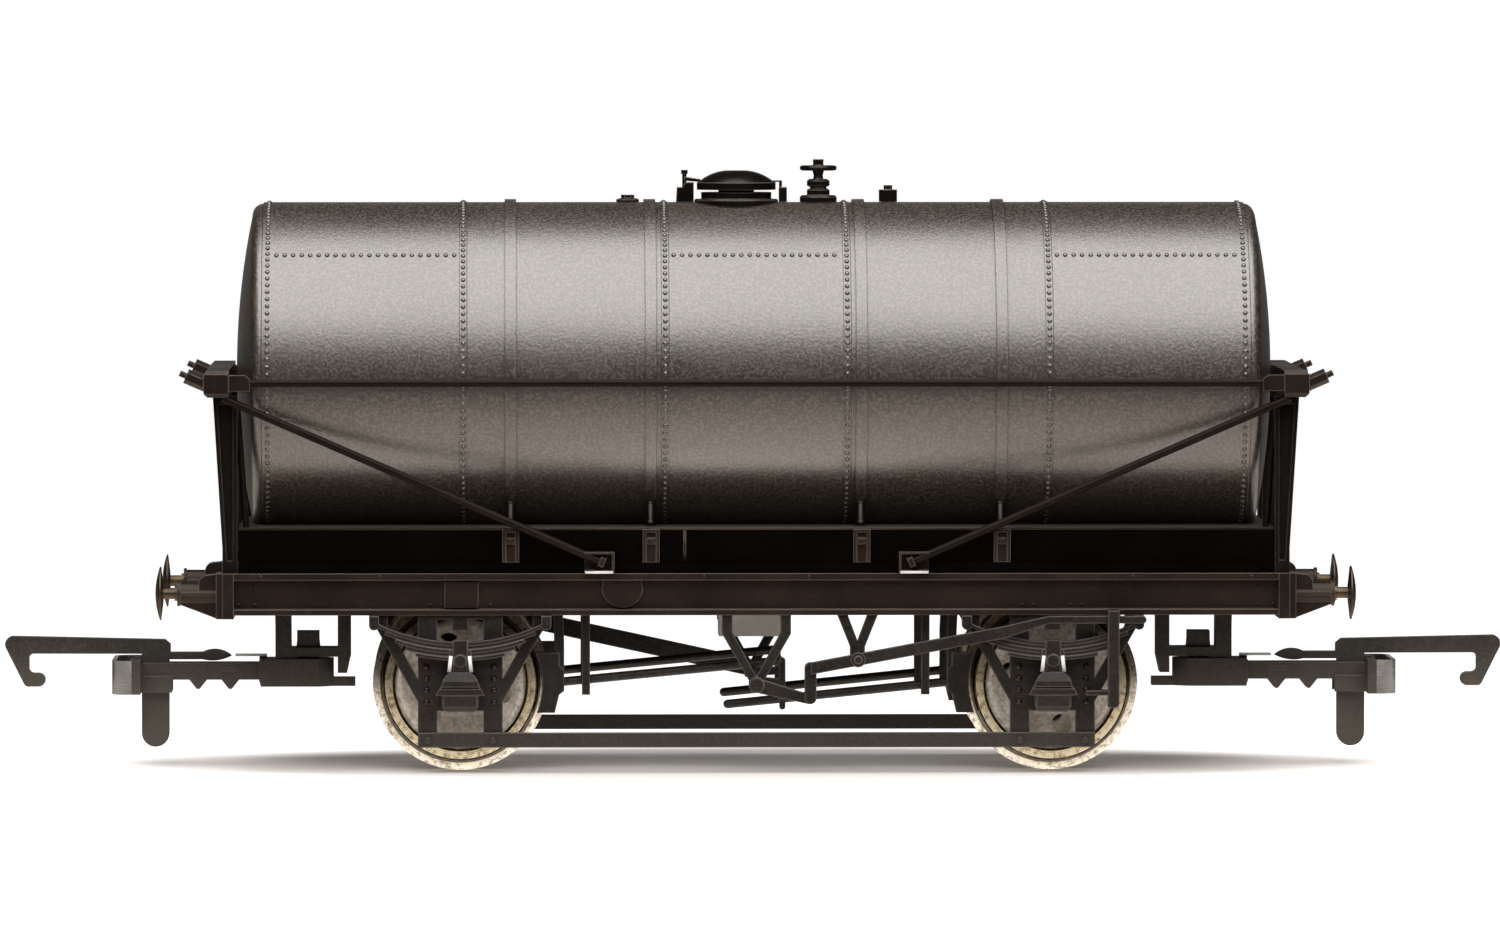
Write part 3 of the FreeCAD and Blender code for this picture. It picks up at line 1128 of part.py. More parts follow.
def coupling_mount():
    """The bracket under the floor: two tapering legs, a web, the clip block and the swivel pin."""
    web_low = COUPLING_Z + POCKET_OVER + MOUNT_GAP
    web_top = web_low + MOUNT_WEB_T
    y = (-MOUNT_HALF, MOUNT_HALF)
    a, b = (SWIVEL_X + v for v in MOUNT_FRONT)
    front = side_plate([(a, web_low), (b, web_low), (b, web_low + 2.5), (b + 0.1, FLOOR_LOW), (a + 0.05, FLOOR_LOW)], y)
    c, d = (SWIVEL_X + v for v in MOUNT_REAR)
    rear_low = COUPLING_Z + MOUNT_REAR_OVER - TAIL_H * 0.3
    rear = side_plate([(c, rear_low + 1.4), (c + 0.3, rear_low), (d, rear_low), (d, FLOOR_LOW), (c, FLOOR_LOW)], y)
    web = block((c, b), y, (web_low, web_top))
    clip_top = web_top + CLIP_H
    clip = side_plate([(SWIVEL_X - CLIP_HALF - 0.15, web_low), (SWIVEL_X + CLIP_HALF + 0.15, web_low),
                       (SWIVEL_X + CLIP_HALF, web_top + 0.6), (SWIVEL_X + CLIP_HALF, clip_top),
                       (SWIVEL_X - CLIP_HALF, clip_top), (SWIVEL_X - CLIP_HALF, web_top + 0.6)], (-1.2, 1.2))
    low = COUPLING_Z - POCKET_UNDER
    pin = rod(SWIVEL_R, (SWIVEL_X, 0, low + PIN_SINK), (SWIVEL_X, 0, web_top))
    head = rod(PIN_HEAD_R, (SWIVEL_X, 0, low + PIN_SINK), (SWIVEL_X, 0, low + PIN_SINK + PIN_HEAD))
    return joined([front, rear, web, clip, pin, head])


def coupling_arm():
    """The swinging pocket, its tail, the forked arm with two teeth and the cross piece at its nose."""
    low = COUPLING_Z - POCKET_UNDER
    top = COUPLING_Z + POCKET_OVER
    arm_low = COUPLING_Z - ARM_UNDER
    arm_top = COUPLING_Z + ARM_OVER
    corner = SWIVEL_X - POCKET_BACK + POCKET_CORNER
    back, front = SWIVEL_X - POCKET_BACK, SWIVEL_X + POCKET_L
    plan = flat_plate([(back, -POCKET_BACK_HALF), (corner, -POCKET_HALF), (front, -POCKET_HALF),
                       (front, POCKET_HALF), (corner, POCKET_HALF), (back, POCKET_BACK_HALF)], (low, top))
    side = side_plate([(back, low), (front - 0.15, low), (front, low + 0.5), (front, top - 0.15),
                       (front - 0.15, top), (back, top)], (-POCKET_HALF, POCKET_HALF))
    pocket = plan.common(side)
    tail = block((SWIVEL_X - TAIL_L, SWIVEL_X), (-TAIL_HALF, TAIL_HALF), (low, low + TAIL_H))
    bar = block((SWIVEL_X + POCKET_L - 0.5, ARM_END), (-ARM_HALF, ARM_HALF), (arm_low, arm_top))
    cross = block((ARM_END, ARM_END + CROSS_T), (-CROSS_HALF, CROSS_HALF),
                  (COUPLING_Z - CROSS_UNDER, COUPLING_Z + CROSS_OVER))
    pieces = [pocket, tail, bar, cross]
    for offset in TOOTH_X:
        x = SWIVEL_X + offset
        pieces.append(side_plate([(x - TOOTH_HALF, arm_low), (x + TOOTH_HALF, arm_low), (x + 0.12, arm_low - TOOTH_H),
                                  (x - 0.12, arm_low - TOOTH_H)], (-ARM_HALF, ARM_HALF)))
    emboss = SWIVEL_X + TOOTH_X[0]
    for side in (-1, 1):
        pieces.append(strip(0.3, (emboss - 0.5, COUPLING_Z + 0.2), (emboss + 0.6, COUPLING_Z + 0.2),
                            sorted((side * ARM_HALF, side * (ARM_HALF + 0.08)))))
        pieces.append(block((HOOK_X - 1.2, ARM_END), sorted((side * ARM_HALF, side * (ARM_HALF + 0.25))),
                            (COUPLING_Z - CROSS_UNDER, COUPLING_Z - 0.35)))
    post_x = (SWIVEL_X + SPRING_LEAF_X[0], SWIVEL_X + POCKET_L)
    pieces.append(block(post_x, (-SPRING_LEAF_HALF, SPRING_LEAF_HALF), (top - 0.1, COUPLING_Z + SPRING_LEAF_OVER)))
    slot = block((SWIVEL_X + SLOT_START, ARM_END + CROSS_T + 1), (-SLOT_HALF, SLOT_HALF),
                 (COUPLING_Z - 3, COUPLING_Z + 3))
    bore = rod(SWIVEL_R + SWIVEL_GAP, (SWIVEL_X, 0, low - 1), (SWIVEL_X, 0, top + 1))
    recess = rod(PIN_HEAD_R + SWIVEL_GAP, (SWIVEL_X, 0, low - 1),
                 (SWIVEL_X, 0, low + PIN_SINK + PIN_HEAD + SWIVEL_GAP))
    pin = rod(HOOK_PIN_R, (HOOK_X, -ARM_HALF, COUPLING_Z), (HOOK_X, ARM_HALF, COUPLING_Z))
    return joined([joined(pieces).cut(slot).cut(bore).cut(recess), pin])


def coupling_leaf():
    """The thin spring leaf that reaches from the pocket to the hook's tail."""
    x = (SWIVEL_X + SPRING_LEAF_X[0], SWIVEL_X + SPRING_LEAF_X[1])
    low = COUPLING_Z + SPRING_LEAF_OVER
    return block(x, (-SPRING_LEAF_HALF, SPRING_LEAF_HALF), (low, low + SPRING_LEAF_T))


def coupling_bow():
    """The bright strip bent into a bow in front of the cross piece."""
    back = ARM_END + CROSS_T

    def outline(inset):
        front = BOW_FRONT - inset
        half = CROSS_HALF - inset
        r = BOW_CORNER - inset
        bend = r * math.sin(math.pi / 4)
        return [(back, -half), (front - r, -half), (front - r + bend, -half + r - bend, front, -half + r),
                (front, half - r), (front - r + bend, half - r + bend, front - r, half), (back, half)]
    z = (COUPLING_Z - CROSS_UNDER, COUPLING_Z + CROSS_OVER)
    return flat_plate(outline(0), z).cut(flat_plate(outline(BOW_T), (z[0] - 1, z[1] + 1)))


def coupling_hook():
    """The lifting hook: nose, bar, the drop arm below the fork and the tail with its lens-shaped end."""
    back = HOOK_X - DROP_BACK
    front = back + DROP_W
    mid = (back + front) / 2
    foot = COUPLING_Z - DROP_L
    bar_low = COUPLING_Z + BAR_UNDER
    bar_top = COUPLING_Z + BAR_TOP
    nose = HOOK_X + HOOK_L
    neck = nose - HOOK_NECK
    tip_x = neck - 0.75
    tip_z = COUPLING_Z - HOOK_TIP_DROP
    tip_r = HOOK_TIP_R
    tail_low, tail_top = (COUPLING_Z + v for v in TAIL_BAR)
    lens_a, lens_b = (HOOK_X + v for v in LENS_X)
    lens_mid = (lens_a + lens_b) / 2
    lens_z = (tail_low + tail_top) / 2
    outline = [
        (back + 0.35, bar_top - 0.12), (nose - 0.65, bar_top + 0.14),
        (nose - 0.1, bar_top - 0.1, nose - 0.02, bar_top - 0.85),
        (neck + 0.45, tip_z - tip_r + 0.25), (neck + 0.2, tip_z - tip_r + 0.02, neck - 0.1, tip_z - tip_r),
        (tip_x, tip_z - tip_r), (tip_x - tip_r, tip_z, tip_x, tip_z + tip_r),
        (neck - 0.45, tip_z + tip_r), (neck - 0.12, tip_z + tip_r + 0.12, neck, tip_z + tip_r + 0.5),
        (neck, bar_low - 0.35), (neck - 0.1, bar_low - 0.1, neck - 0.35, bar_low + 0.02),
        (front, bar_low), (front, foot + DROP_W / 2), (mid, foot, back, foot + DROP_W / 2),
        (back, tail_low), (lens_b, tail_low), (lens_mid, tail_low - 0.08, lens_a, lens_z),
        (lens_mid, tail_top + 0.22, lens_b, tail_top), (back - 0.1, tail_top), (back - 0.1, bar_top - 0.5)]
    hole = rod(HOOK_PIN_R + HOOK_PIN_GAP, (HOOK_X, -1, COUPLING_Z), (HOOK_X, 1, COUPLING_Z))
    return side_plate(outline, (-HOOK_HALF, HOOK_HALF)).cut(hole)


def build():
    """Every node of the wagon by name."""
    nodes = {}
    nodes["tank_barrel"] = tank_barrel()
    nodes["tank_end_right"] = tank_end()
    nodes["tank_end_left"] = turned(nodes["tank_end_right"])
    straps = [strap(side * x) for x in STRAP_X for side in (-1, 1)]
    brackets = [strap_bracket(side * x) for x in STRAP_X for side in (-1, 1)]
    nodes["tank_straps"] = group(straps)
    nodes["strap_brackets"] = group(brackets + [turned(piece) for piece in brackets])
    nodes["cradle"] = cradle()
    nodes["manhole_neck"] = manhole_neck()
    nodes["manhole_lid"] = manhole_lid()
    nodes["manhole_clamps"] = manhole_clamps()
    nodes["filling_valve"] = filling_valve()
    nodes["valve_handwheel"] = valve_handwheel()
    nodes["vent_pipe"] = vent_pipe()
    nodes["filler_plug"] = filler_plug()
    nodes["side_stays"] = side_stays()
    nodes["diagonal_stays"] = four(diagonal_stay())
    nodes["stay_anchors"] = four(stay_anchor())
    nodes["chassis_floor"] = chassis_floor()
    nodes["solebar_near"] = solebar()
    nodes["solebar_far"] = turned(nodes["solebar_near"])
    for name, piece in (("end_beam", end_beam()), ("end_posts", end_posts()), ("headstock", headstock())):
        nodes[name + "_right"] = piece
        nodes[name + "_left"] = turned(piece)
    housings = [buffer_housing(-1), buffer_housing(1)]
    heads = [buffer_head(-1), buffer_head(1)]
    nodes["buffer_housings"] = group(housings + [turned(piece) for piece in housings])
    nodes["buffer_heads"] = group(heads + [turned(piece) for piece in heads])
    nodes["axle_right"] = axle()
    nodes["axle_left"] = mirrored(nodes["axle_right"], X_AXIS)
    nodes["tyres_right"] = group([tyre(-1), tyre(1)])
    nodes["tyres_left"] = mirrored(nodes["tyres_right"], X_AXIS)
    nodes["wheel_discs_right"] = group([wheel_disc(side, RIGHT_HOLE_ANGLE) for side in (-1, 1)])
    nodes["wheel_discs_left"] = group([mirrored(wheel_disc(side, 180 - LEFT_HOLE_ANGLE), X_AXIS) for side in (-1, 1)])
    for name, piece in (("w_irons", w_iron()), ("springs", leaf_spring()), ("axleboxes", axlebox())):
        pair = [piece, mirrored(piece, X_AXIS)]
        nodes[name + "_near"] = group(pair)
        nodes[name + "_far"] = group([turned(each) for each in pair])
    nodes["tie_bar_near"] = tie_bar()
    nodes["tie_bar_far"] = turned(nodes["tie_bar_near"])
    hanger = v_hanger()
    nodes["v_hangers"] = group([hanger, second_hanger(), mirrored(hanger, Y_AXIS)])
    nodes["brake_shaft"] = brake_shaft()
    rods = push_rods()
    nodes["push_rods"] = group([rods, mirrored(rods, Y_AXIS)])
    nodes["brake_shoes"] = four(brake_shoe())
    nodes["hand_levers"] = group([near_lever(), turned(far_lever())])
    nodes["lever_links"] = lever_link()
    guard = lever_guard()
    nodes["lever_guards"] = group([guard, turned(guard)])
    hangers = [safety_hanger(-1), safety_hanger(1)]
    nodes["safety_hangers"] = group(hangers + [turned(piece) for piece in hangers])
    nodes["discharge_outlet"] = discharge_outlet()
    for name, piece in (("coupling_mount", coupling_mount()), ("coupling_arm", coupling_arm()),
                        ("coupling_leaf", coupling_leaf()), ("coupling_bow", coupling_bow()),
                        ("coupling_hook", coupling_hook())):
        nodes[name + "_right"] = piece
        nodes[name + "_left"] = turned(piece)
    return nodes


os.makedirs("parts", exist_ok=True)
for node, solid in build().items():
    solid.exportStep("parts/" + node + ".step")
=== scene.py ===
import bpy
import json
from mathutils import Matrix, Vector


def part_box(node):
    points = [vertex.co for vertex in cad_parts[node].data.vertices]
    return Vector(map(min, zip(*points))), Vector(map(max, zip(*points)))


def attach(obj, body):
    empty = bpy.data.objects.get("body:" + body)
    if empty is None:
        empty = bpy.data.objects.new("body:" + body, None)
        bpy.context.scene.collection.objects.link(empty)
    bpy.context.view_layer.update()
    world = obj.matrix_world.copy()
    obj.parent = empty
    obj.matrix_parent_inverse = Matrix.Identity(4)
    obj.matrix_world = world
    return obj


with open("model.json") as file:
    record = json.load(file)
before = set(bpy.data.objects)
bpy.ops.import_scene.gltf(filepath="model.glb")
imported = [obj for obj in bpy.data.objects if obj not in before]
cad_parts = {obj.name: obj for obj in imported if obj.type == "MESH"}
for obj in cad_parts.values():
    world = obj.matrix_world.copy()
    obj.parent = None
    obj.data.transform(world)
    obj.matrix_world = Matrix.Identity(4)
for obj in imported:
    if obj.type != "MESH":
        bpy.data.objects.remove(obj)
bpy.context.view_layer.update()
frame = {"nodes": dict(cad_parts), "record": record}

import json
import math

import bpy
import numpy as np
from mathutils import Vector

MM = 0.001
NODES = frame["nodes"]
SCENE = bpy.context.scene

# The photograph is 1500 x 938 pixels. At the wagon's middle plane it shows 12.34 pixels a millimetre.
PHOTO_W = 1500
PIXELS_PER_MM = 12.34
CAMERA_X = -20.6
CAMERA_Y = -1085.0
CAMERA_Z = 64.0
AIM_X = -0.28
AIM_Z = 23.94
SENSOR = 36.0

# The floor, in metres: its sides, and where its painted pool of light starts and ends falling off to dark. It keeps
# the wagon's shadow inside an oval of this half length and half width in millimetres. GLOW is light the card gives
# off of its own: to reflections near the wagon, as painted light, and to the camera.
FLOOR_LEFT, FLOOR_RIGHT, FLOOR_FRONT, FLOOR_BACK = -0.45, 0.45, -0.2, 0.35
FALL_FROM, FALL_TO = 0.035, 0.12
SHADE_X = 54.0
SHADE_Y = 25.0
MIRRORED_GLOW = 1.4
CAMERA_GLOW = 0.07

# The CAD part's own places, in millimetres.
AXLE_X = 23.75
AXLE_Z = 7.05
TANK_R = 13.5
TANK_Z = 32.1
BARREL_HALF = 39.65
SEAM_X = (7.3, 23.5)
SEAM_T = 0.05
STRAP_X = (8.45, 19.7)
STRAP_BOLT_Y = 8.7
SOLEBAR_LOW = 12.7
SOLEBAR_TOP = 16.06
SOLEBAR_FACE = 13.2
CRADLE_FACE = 12.6
W_IRON_FACE = 12.8
SOLEBAR_WEB = 12.3
CLIP_FACE = 14.3
ANCHOR_FOOT_Z = 16.17
BUTT_X = -5.75

# Sides of a small strip's cross section.
STRIP_SIDES = 12

# The barrel's rivets: a head's radius and height, the rows' places and pitches, and how far round the barrel a row
# runs from the top, in degrees.
RIVET_R = 0.2
RIVET_H = 0.13
RING_PITCH = 0.6
END_ROW_X = 39.2
END_PITCH = 0.62
LAP_Z = 41.5
LAP_PITCH = 0.68
SEAT_ANGLE = 157.0

# The other fastenings. DX is a distance along the wagon from the axle, PROUD one out from the face.
W_IRON_RIVET_DX = 2.7
W_IRON_RIVET_Z = (8.56, 7.6, 6.7, 5.7)
TIE_BOLT_DX = 2.6
TIE_BOLT_Z = 2.7
NUT_PROUD = 0.6
FLANGE_BOLT_X = (39.7, 30.2, 4.2)
FLANGE_BOLT_DROP = 0.28
BRACKET_NUT_Z = 18.66
END_BOLT_X = (41.5, 40.2)
END_BOLT_Z = (13.5, 14.9)
WEB_BOLT_DX = (-2.4, -1.5, 1.5, 2.4)
WEB_BOLT_Z = 13.5

# The small strips: each one's ends, then its half width and half depth.
# The U bolts and the anchor strips are drawn pale grey as painted highlights.
U_BOLT_TOP, U_BOLT_FOOT = (0.74, 9.5), (0.88, 8.2)
U_BOLT_HIGHLIGHT_STRIP = (0.15, 0.07)
ANCHOR_STRIP_X = (11.5, 13.75)
ANCHOR_HIGHLIGHT_STRIP = (0.1, 0.04)
COVER_STRIP_Z = (17.0, 19.5)
COVER_STRIP = (0.13, 0.05)
EDGE_BEAD = (0.09, 0.05)

# Dust, the speckle in the paint and a worn paler edge, as they show on any of the dark finishes. The dust colour is
# also painted light that pales a finish by height, and the edge colour is also a painted highlight.
DUST_AND_PAINTED_LIGHT = "#6E675E"
SPECKLE = "#705F4E"
RUBBED_AND_LIT_EDGE = "#8C8276"

# Edges are rounded this much in the shading of the moulded parts.
EDGE_R = 0.12

# The tyre's rings from its inner edge out to its flange: a radius in millimetres and the colour there. Most are the
# plating's colour; the two dark bands are painted shade, in the groove and in the shadow line at the flange's step.
RING_FROM, RING_TO = 5.0, 7.2
TYRE_SLOPE = 0.35
TYRE_RINGS_AND_SHADE = [(5.2, "#A89C84"), (5.26, "#2A2014"), (5.4, "#2A2014"), (5.5, "#B8AA8C"), (6.02, "#C6B99E"),
              (6.08, "#0C0804"), (6.41, "#0C0804"), (6.48, "#D0C4AE"), (7.0, "#EBE2D2")]


def linear(hex_colour):
    """The sRGB hex colour as linear red, green, blue and 1."""
    values = [int(hex_colour[k:k + 2], 16) / 255 for k in (1, 3, 5)]
    return [v / 12.92 if v <= 0.04045 else ((v + 0.055) / 1.055) ** 2.4 for v in values] + [1.0]


def add(owner, kind, settings=None, **links):
    """Adds a node to a material or world. Settings are its properties, input values or a ramp's (position, colour)
    stops, and links feed its inputs."""
    node = owner.node_tree.nodes.new(kind)
    for name, value in (settings or {}).items():
        if name == "stops":
            for position, _ in value[2:]:
                node.color_ramp.elements.new(position)
            for element, (position, colour) in zip(node.color_ramp.elements, value):
                element.position = position
                element.color = linear(colour)
        elif name[0].isupper():
            node.inputs[name].default_value = value
        elif name[0] == "i" and name[1:].isdigit():
            node.inputs[int(name[1:])].default_value = value
        else:
            setattr(node, name, value)
    for name, source in links.items():
        key = int(name[1:]) if name[0] == "i" and name[1:].isdigit() else name.replace("_", " ")
        owner.node_tree.links.new(source, node.inputs[key])
    return node


def new_material(name):
    """An empty material with a Principled shader and its output."""
    material = bpy.data.materials.new(name)
    material.use_nodes = True
    material.node_tree.nodes.clear()
    shader = add(material, "ShaderNodeBsdfPrincipled")
    add(material, "ShaderNodeOutputMaterial", None, Surface=shader.outputs[0])
    return material, shader


def feed(material, shader, **sources):
    """Links sources to the shader's inputs."""
    for name, source in sources.items():
        material.node_tree.links.new(source, shader.inputs[name.replace("_", " ")])


def dry_finish(name, dark, light, roughness, grain_mm, bump_mm, blotch_mm=5.0, drift=0.12, dust=0.1, speckle=0.0,
               edge_mm=0.0, wear_and_highlight=0.0, painted_light_by_height=(0.0, -1.0, 0.0)):
    """A moulded or sprayed surface. Soft blotches of two close colours and of roughness, a fine grain in the bump
    and a little pale dust where a finer noise peaks. The speckle mixes that grain into the colour too. Edges are
    rounded by edge_mm in the shading, and where the rounded normal leaves the face's own, the colour is painted
    paler, as worn edges and as a painted highlight. By height the colour is paled with the dust colour as painted
    light: none at the first height in millimetres, the last figure's share of it at the second."""
    material, shader = new_material(name)
    place = add(material, "ShaderNodeTexCoord").outputs["Object"]
    blotch = add(material, "ShaderNodeTexNoise", {"Scale": 1 / (blotch_mm * MM), "Detail": 3.0, "Roughness": 0.55},
                 Vector=place)
    base = add(material, "ShaderNodeValToRGB", {"stops": [(0.32, dark), (0.68, light)]}, Fac=blotch.outputs[0])
    dirt = add(material, "ShaderNodeTexNoise", {"Scale": 1 / (0.9 * MM), "Detail": 4.0, "Roughness": 0.7},
               Vector=place)
    speck = add(material, "ShaderNodeMapRange", {"From Min": 0.55, "From Max": 0.75, "To Min": 0.0, "To Max": dust},
                Value=dirt.outputs[0])
    colour = add(material, "ShaderNodeMix", {"data_type": "RGBA", "i7": linear(DUST_AND_PAINTED_LIGHT)}, i0=speck.outputs[0],
                 i6=base.outputs[0])
    rough = add(material, "ShaderNodeMapRange", {"From Min": 0.3, "From Max": 0.7, "To Min": roughness - drift / 2,
                                                "To Max": roughness + drift / 2}, Value=blotch.outputs[0])
    grain = add(material, "ShaderNodeTexNoise", {"Scale": 1 / (grain_mm * MM), "Detail": 2.0}, Vector=place)
    bump = add(material, "ShaderNodeBump", {"Distance": bump_mm * MM}, Height=grain.outputs[0])
    if speckle:
        share = add(material, "ShaderNodeMapRange", {"From Min": 0.44, "From Max": 0.62, "To Min": 0.0,
                                                    "To Max": speckle}, Value=grain.outputs[0])
        colour = add(material, "ShaderNodeMix", {"data_type": "RGBA", "i7": linear(SPECKLE)}, i0=share.outputs[0],
                     i6=colour.outputs[2])
    # Painted light: the colour is paled by height.
    if painted_light_by_height[2]:
        axes = add(material, "ShaderNodeSeparateXYZ", None, Vector=place)
        share = add(material, "ShaderNodeMapRange", {"From Min": painted_light_by_height[0] * MM, "From Max": painted_light_by_height[1] * MM,
                                                    "To Min": 0.0, "To Max": painted_light_by_height[2]}, Value=axes.outputs[2])
        colour = add(material, "ShaderNodeMix", {"data_type": "RGBA", "i7": linear(DUST_AND_PAINTED_LIGHT)}, i0=share.outputs[0],
                     i6=colour.outputs[2])
    # Worn edges and a painted highlight: edges are paled where the rounded normal leaves the face's own.
    if edge_mm:
        edge = add(material, "ShaderNodeBevel", {"samples": 4, "Radius": edge_mm * MM})
        own = add(material, "ShaderNodeNewGeometry").outputs["Normal"]
        facing = add(material, "ShaderNodeVectorMath", {"operation": "DOT_PRODUCT"}, i0=edge.outputs[0], i1=own)
        rubbed_and_lit = add(material, "ShaderNodeMapRange", {"From Min": 0.98, "From Max": 0.8, "To Min": 0.0, "To Max": wear_and_highlight},
                     Value=facing.outputs["Value"])
        colour = add(material, "ShaderNodeMix", {"data_type": "RGBA", "i7": linear(RUBBED_AND_LIT_EDGE)}, i0=rubbed_and_lit.outputs[0],
                     i6=colour.outputs[2])
        material.node_tree.links.new(edge.outputs[0], bump.inputs["Normal"])
    feed(material, shader, Base_Color=colour.outputs[2], Roughness=rough.outputs[0], Normal=bump.outputs[0])
    return material, shader


def bright_metal(name, dark, light, roughness, scratch_mm, bump_mm):
    """Plated or rolled metal: a soft blotch of two tints, fine scratches along X and drifting roughness."""
    material, shader = new_material(name)
    place = add(material, "ShaderNodeTexCoord").outputs["Object"]
    blotch = add(material, "ShaderNodeTexNoise", {"Scale": 1 / (2.5 * MM), "Detail": 3.0}, Vector=place)
    tint = add(material, "ShaderNodeValToRGB", {"stops": [(0.3, dark), (0.7, light)]}, Fac=blotch.outputs[0])
    # Scratches are drawn about four times coarser than real ones, which would be finer than a pixel.
    stretch = add(material, "ShaderNodeMapping", {"Scale": (0.08, 1.0, 1.0)}, Vector=place)
    lines = add(material, "ShaderNodeTexNoise", {"Scale": 1 / (scratch_mm * MM), "Detail": 2.0},
                Vector=stretch.outputs[0])
    bump = add(material, "ShaderNodeBump", {"Distance": bump_mm * MM}, Height=lines.outputs[0])
    rough = add(material, "ShaderNodeMapRange", {"From Min": 0.3, "From Max": 0.7, "To Min": roughness - 0.06,
                                                "To Max": roughness + 0.08}, Value=blotch.outputs[0])
    feed(material, shader, Base_Color=tint.outputs[0], Roughness=rough.outputs[0], Normal=bump.outputs[0])
    shader.inputs["Metallic"].default_value = 1.0
    return material


def turned_brass(name):
    """Nickel-plated turned brass for the tyres. Its rings follow the distance from the axle, which is the same for
    both wheelsets once X is folded over the wagon's middle: the face between two dark bands of painted shade, then
    the flange. A fine wave in that distance is the tool's mark, its slope towards the rim lets the low half mirror
    the table and the top half the dark underframe, and grime darkens the plating here and there."""
    material, shader = new_material(name)
    place = add(material, "ShaderNodeTexCoord").outputs["Object"]
    axes = add(material, "ShaderNodeSeparateXYZ", None, Vector=place)
    folded = add(material, "ShaderNodeMath", {"operation": "ABSOLUTE"}, i0=axes.outputs[0])
    along = add(material, "ShaderNodeMath", {"operation": "SUBTRACT", "i1": AXLE_X * MM}, i0=folded.outputs[0])
    up = add(material, "ShaderNodeMath", {"operation": "SUBTRACT", "i1": AXLE_Z * MM}, i0=axes.outputs[2])
    flat = add(material, "ShaderNodeCombineXYZ", None, X=along.outputs[0], Z=up.outputs[0])
    radius = add(material, "ShaderNodeVectorMath", {"operation": "LENGTH"}, i0=flat.outputs[0])
    across = add(material, "ShaderNodeMapRange", {"From Min": RING_FROM * MM, "From Max": RING_TO * MM},
                 Value=radius.outputs["Value"])
    rings = [((r - RING_FROM) / (RING_TO - RING_FROM), colour) for r, colour in TYRE_RINGS_AND_SHADE]
    tint = add(material, "ShaderNodeValToRGB", {"stops": rings}, Fac=across.outputs[0])
    # Turning marks 0.16 mm apart: real ones are finer, but would be lost between pixels.
    phase = add(material, "ShaderNodeMath", {"operation": "MULTIPLY", "i1": 2 * math.pi / (0.16 * MM)},
                i0=radius.outputs["Value"])
    wave = add(material, "ShaderNodeMath", {"operation": "SINE"}, i0=phase.outputs[0])
    grime = add(material, "ShaderNodeTexNoise", {"Scale": 1 / (0.45 * MM), "Detail": 4.0, "Roughness": 0.75},
                Vector=place)
    stain = add(material, "ShaderNodeMapRange", {"From Min": 0.46, "From Max": 0.64, "To Min": 0.0, "To Max": 0.85},
                Value=grime.outputs[0])
    stained = add(material, "ShaderNodeMix", {"data_type": "RGBA", "i7": linear("#64502F")}, i0=stain.outputs[0],
                  i6=tint.outputs[0])
    mark = add(material, "ShaderNodeMath", {"operation": "MULTIPLY", "i1": 0.01}, i0=wave.outputs[0])
    slope = add(material, "ShaderNodeMath", {"operation": "MULTIPLY_ADD", "i1": -TYRE_SLOPE / MM},
                i0=radius.outputs["Value"], i2=mark.outputs[0])
    bump = add(material, "ShaderNodeBump", {"Distance": MM}, Height=slope.outputs[0])
    rough = add(material, "ShaderNodeMapRange", {"From Min": 0.35, "From Max": 0.7, "To Min": 0.28, "To Max": 0.42},
                Value=grime.outputs[0])
    feed(material, shader, Base_Color=stained.outputs[2], Roughness=rough.outputs[0], Normal=bump.outputs[0])
    shader.inputs["Metallic"].default_value = 1.0
    return material


def set_gloss(shader, ior, level, tint):
    """The shader's own IOR, specular level and the tint of what it mirrors."""
    shader.inputs["IOR"].default_value = ior
    shader.inputs["Specular IOR Level"].default_value = level
    shader.inputs["Specular Tint"].default_value = linear(tint)


# Satin paint over the tank's moulding: broad soft lamp reflections over a warm charcoal, with a speckled grain.
TANK, shader = dry_finish("sprayed satin charcoal paint", "#0A0603", "#120B06", roughness=0.37, grain_mm=0.21,
                          bump_mm=0.02, blotch_mm=9.0, drift=0.04, dust=0.0, speckle=0.5, edge_mm=EDGE_R)
set_gloss(shader, 1.85, 1.0, "#FFF9F1")
# The cradle's side is almost black: matt, and always under the tank's shadow. Its top is painted a little paler
# with the dust colour, as painted light on the top.
CRADLE_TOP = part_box("cradle")[1][2] / MM
CRADLE, shader = dry_finish("sprayed matt black paint", "#040302", "#070504", roughness=0.6, grain_mm=0.3,
                            bump_mm=0.004, blotch_mm=6.0, drift=0.1, dust=0.0,
                            painted_light_by_height=(CRADLE_TOP - 0.2, CRADLE_TOP, 0.35))
set_gloss(shader, 1.5, 0.02, "#FFE8D8")
# A warmer, slightly glossier brown-black. Its edges catch light in their rounded shading, and are painted paler
# there as a highlight.
FRAME_BLACK, shader = dry_finish("moulded brown-black styrene", "#140E0A", "#1C140E", roughness=0.4, grain_mm=0.3,
                                 bump_mm=0.006, drift=0.14, dust=0.05, edge_mm=EDGE_R, wear_and_highlight=0.7)
set_gloss(shader, 1.5, 0.4, "#FFE0CC")
# The end posts are plainly blacker than the frame they stand on. Their edges are painted a little paler as a
# highlight.
END_POST, shader = dry_finish("moulded black styrene", "#070504", "#0D0907", roughness=0.45, grain_mm=0.3,
                              bump_mm=0.006, drift=0.14, dust=0.05, edge_mm=EDGE_R, wear_and_highlight=0.3)
set_gloss(shader, 1.5, 0.2, "#FFE8D8")
# Thin brown paint over wire: duller than the moulded frame, so that a stay is a plain dark line on the tank.
STAY, shader = dry_finish("brown-painted brass wire", "#0F0B08", "#18120D", roughness=0.42, grain_mm=0.25,
                          bump_mm=0.003, blotch_mm=3.0, drift=0.14, dust=0.04)
set_gloss(shader, 1.45, 0.16, "#FFE6D4")
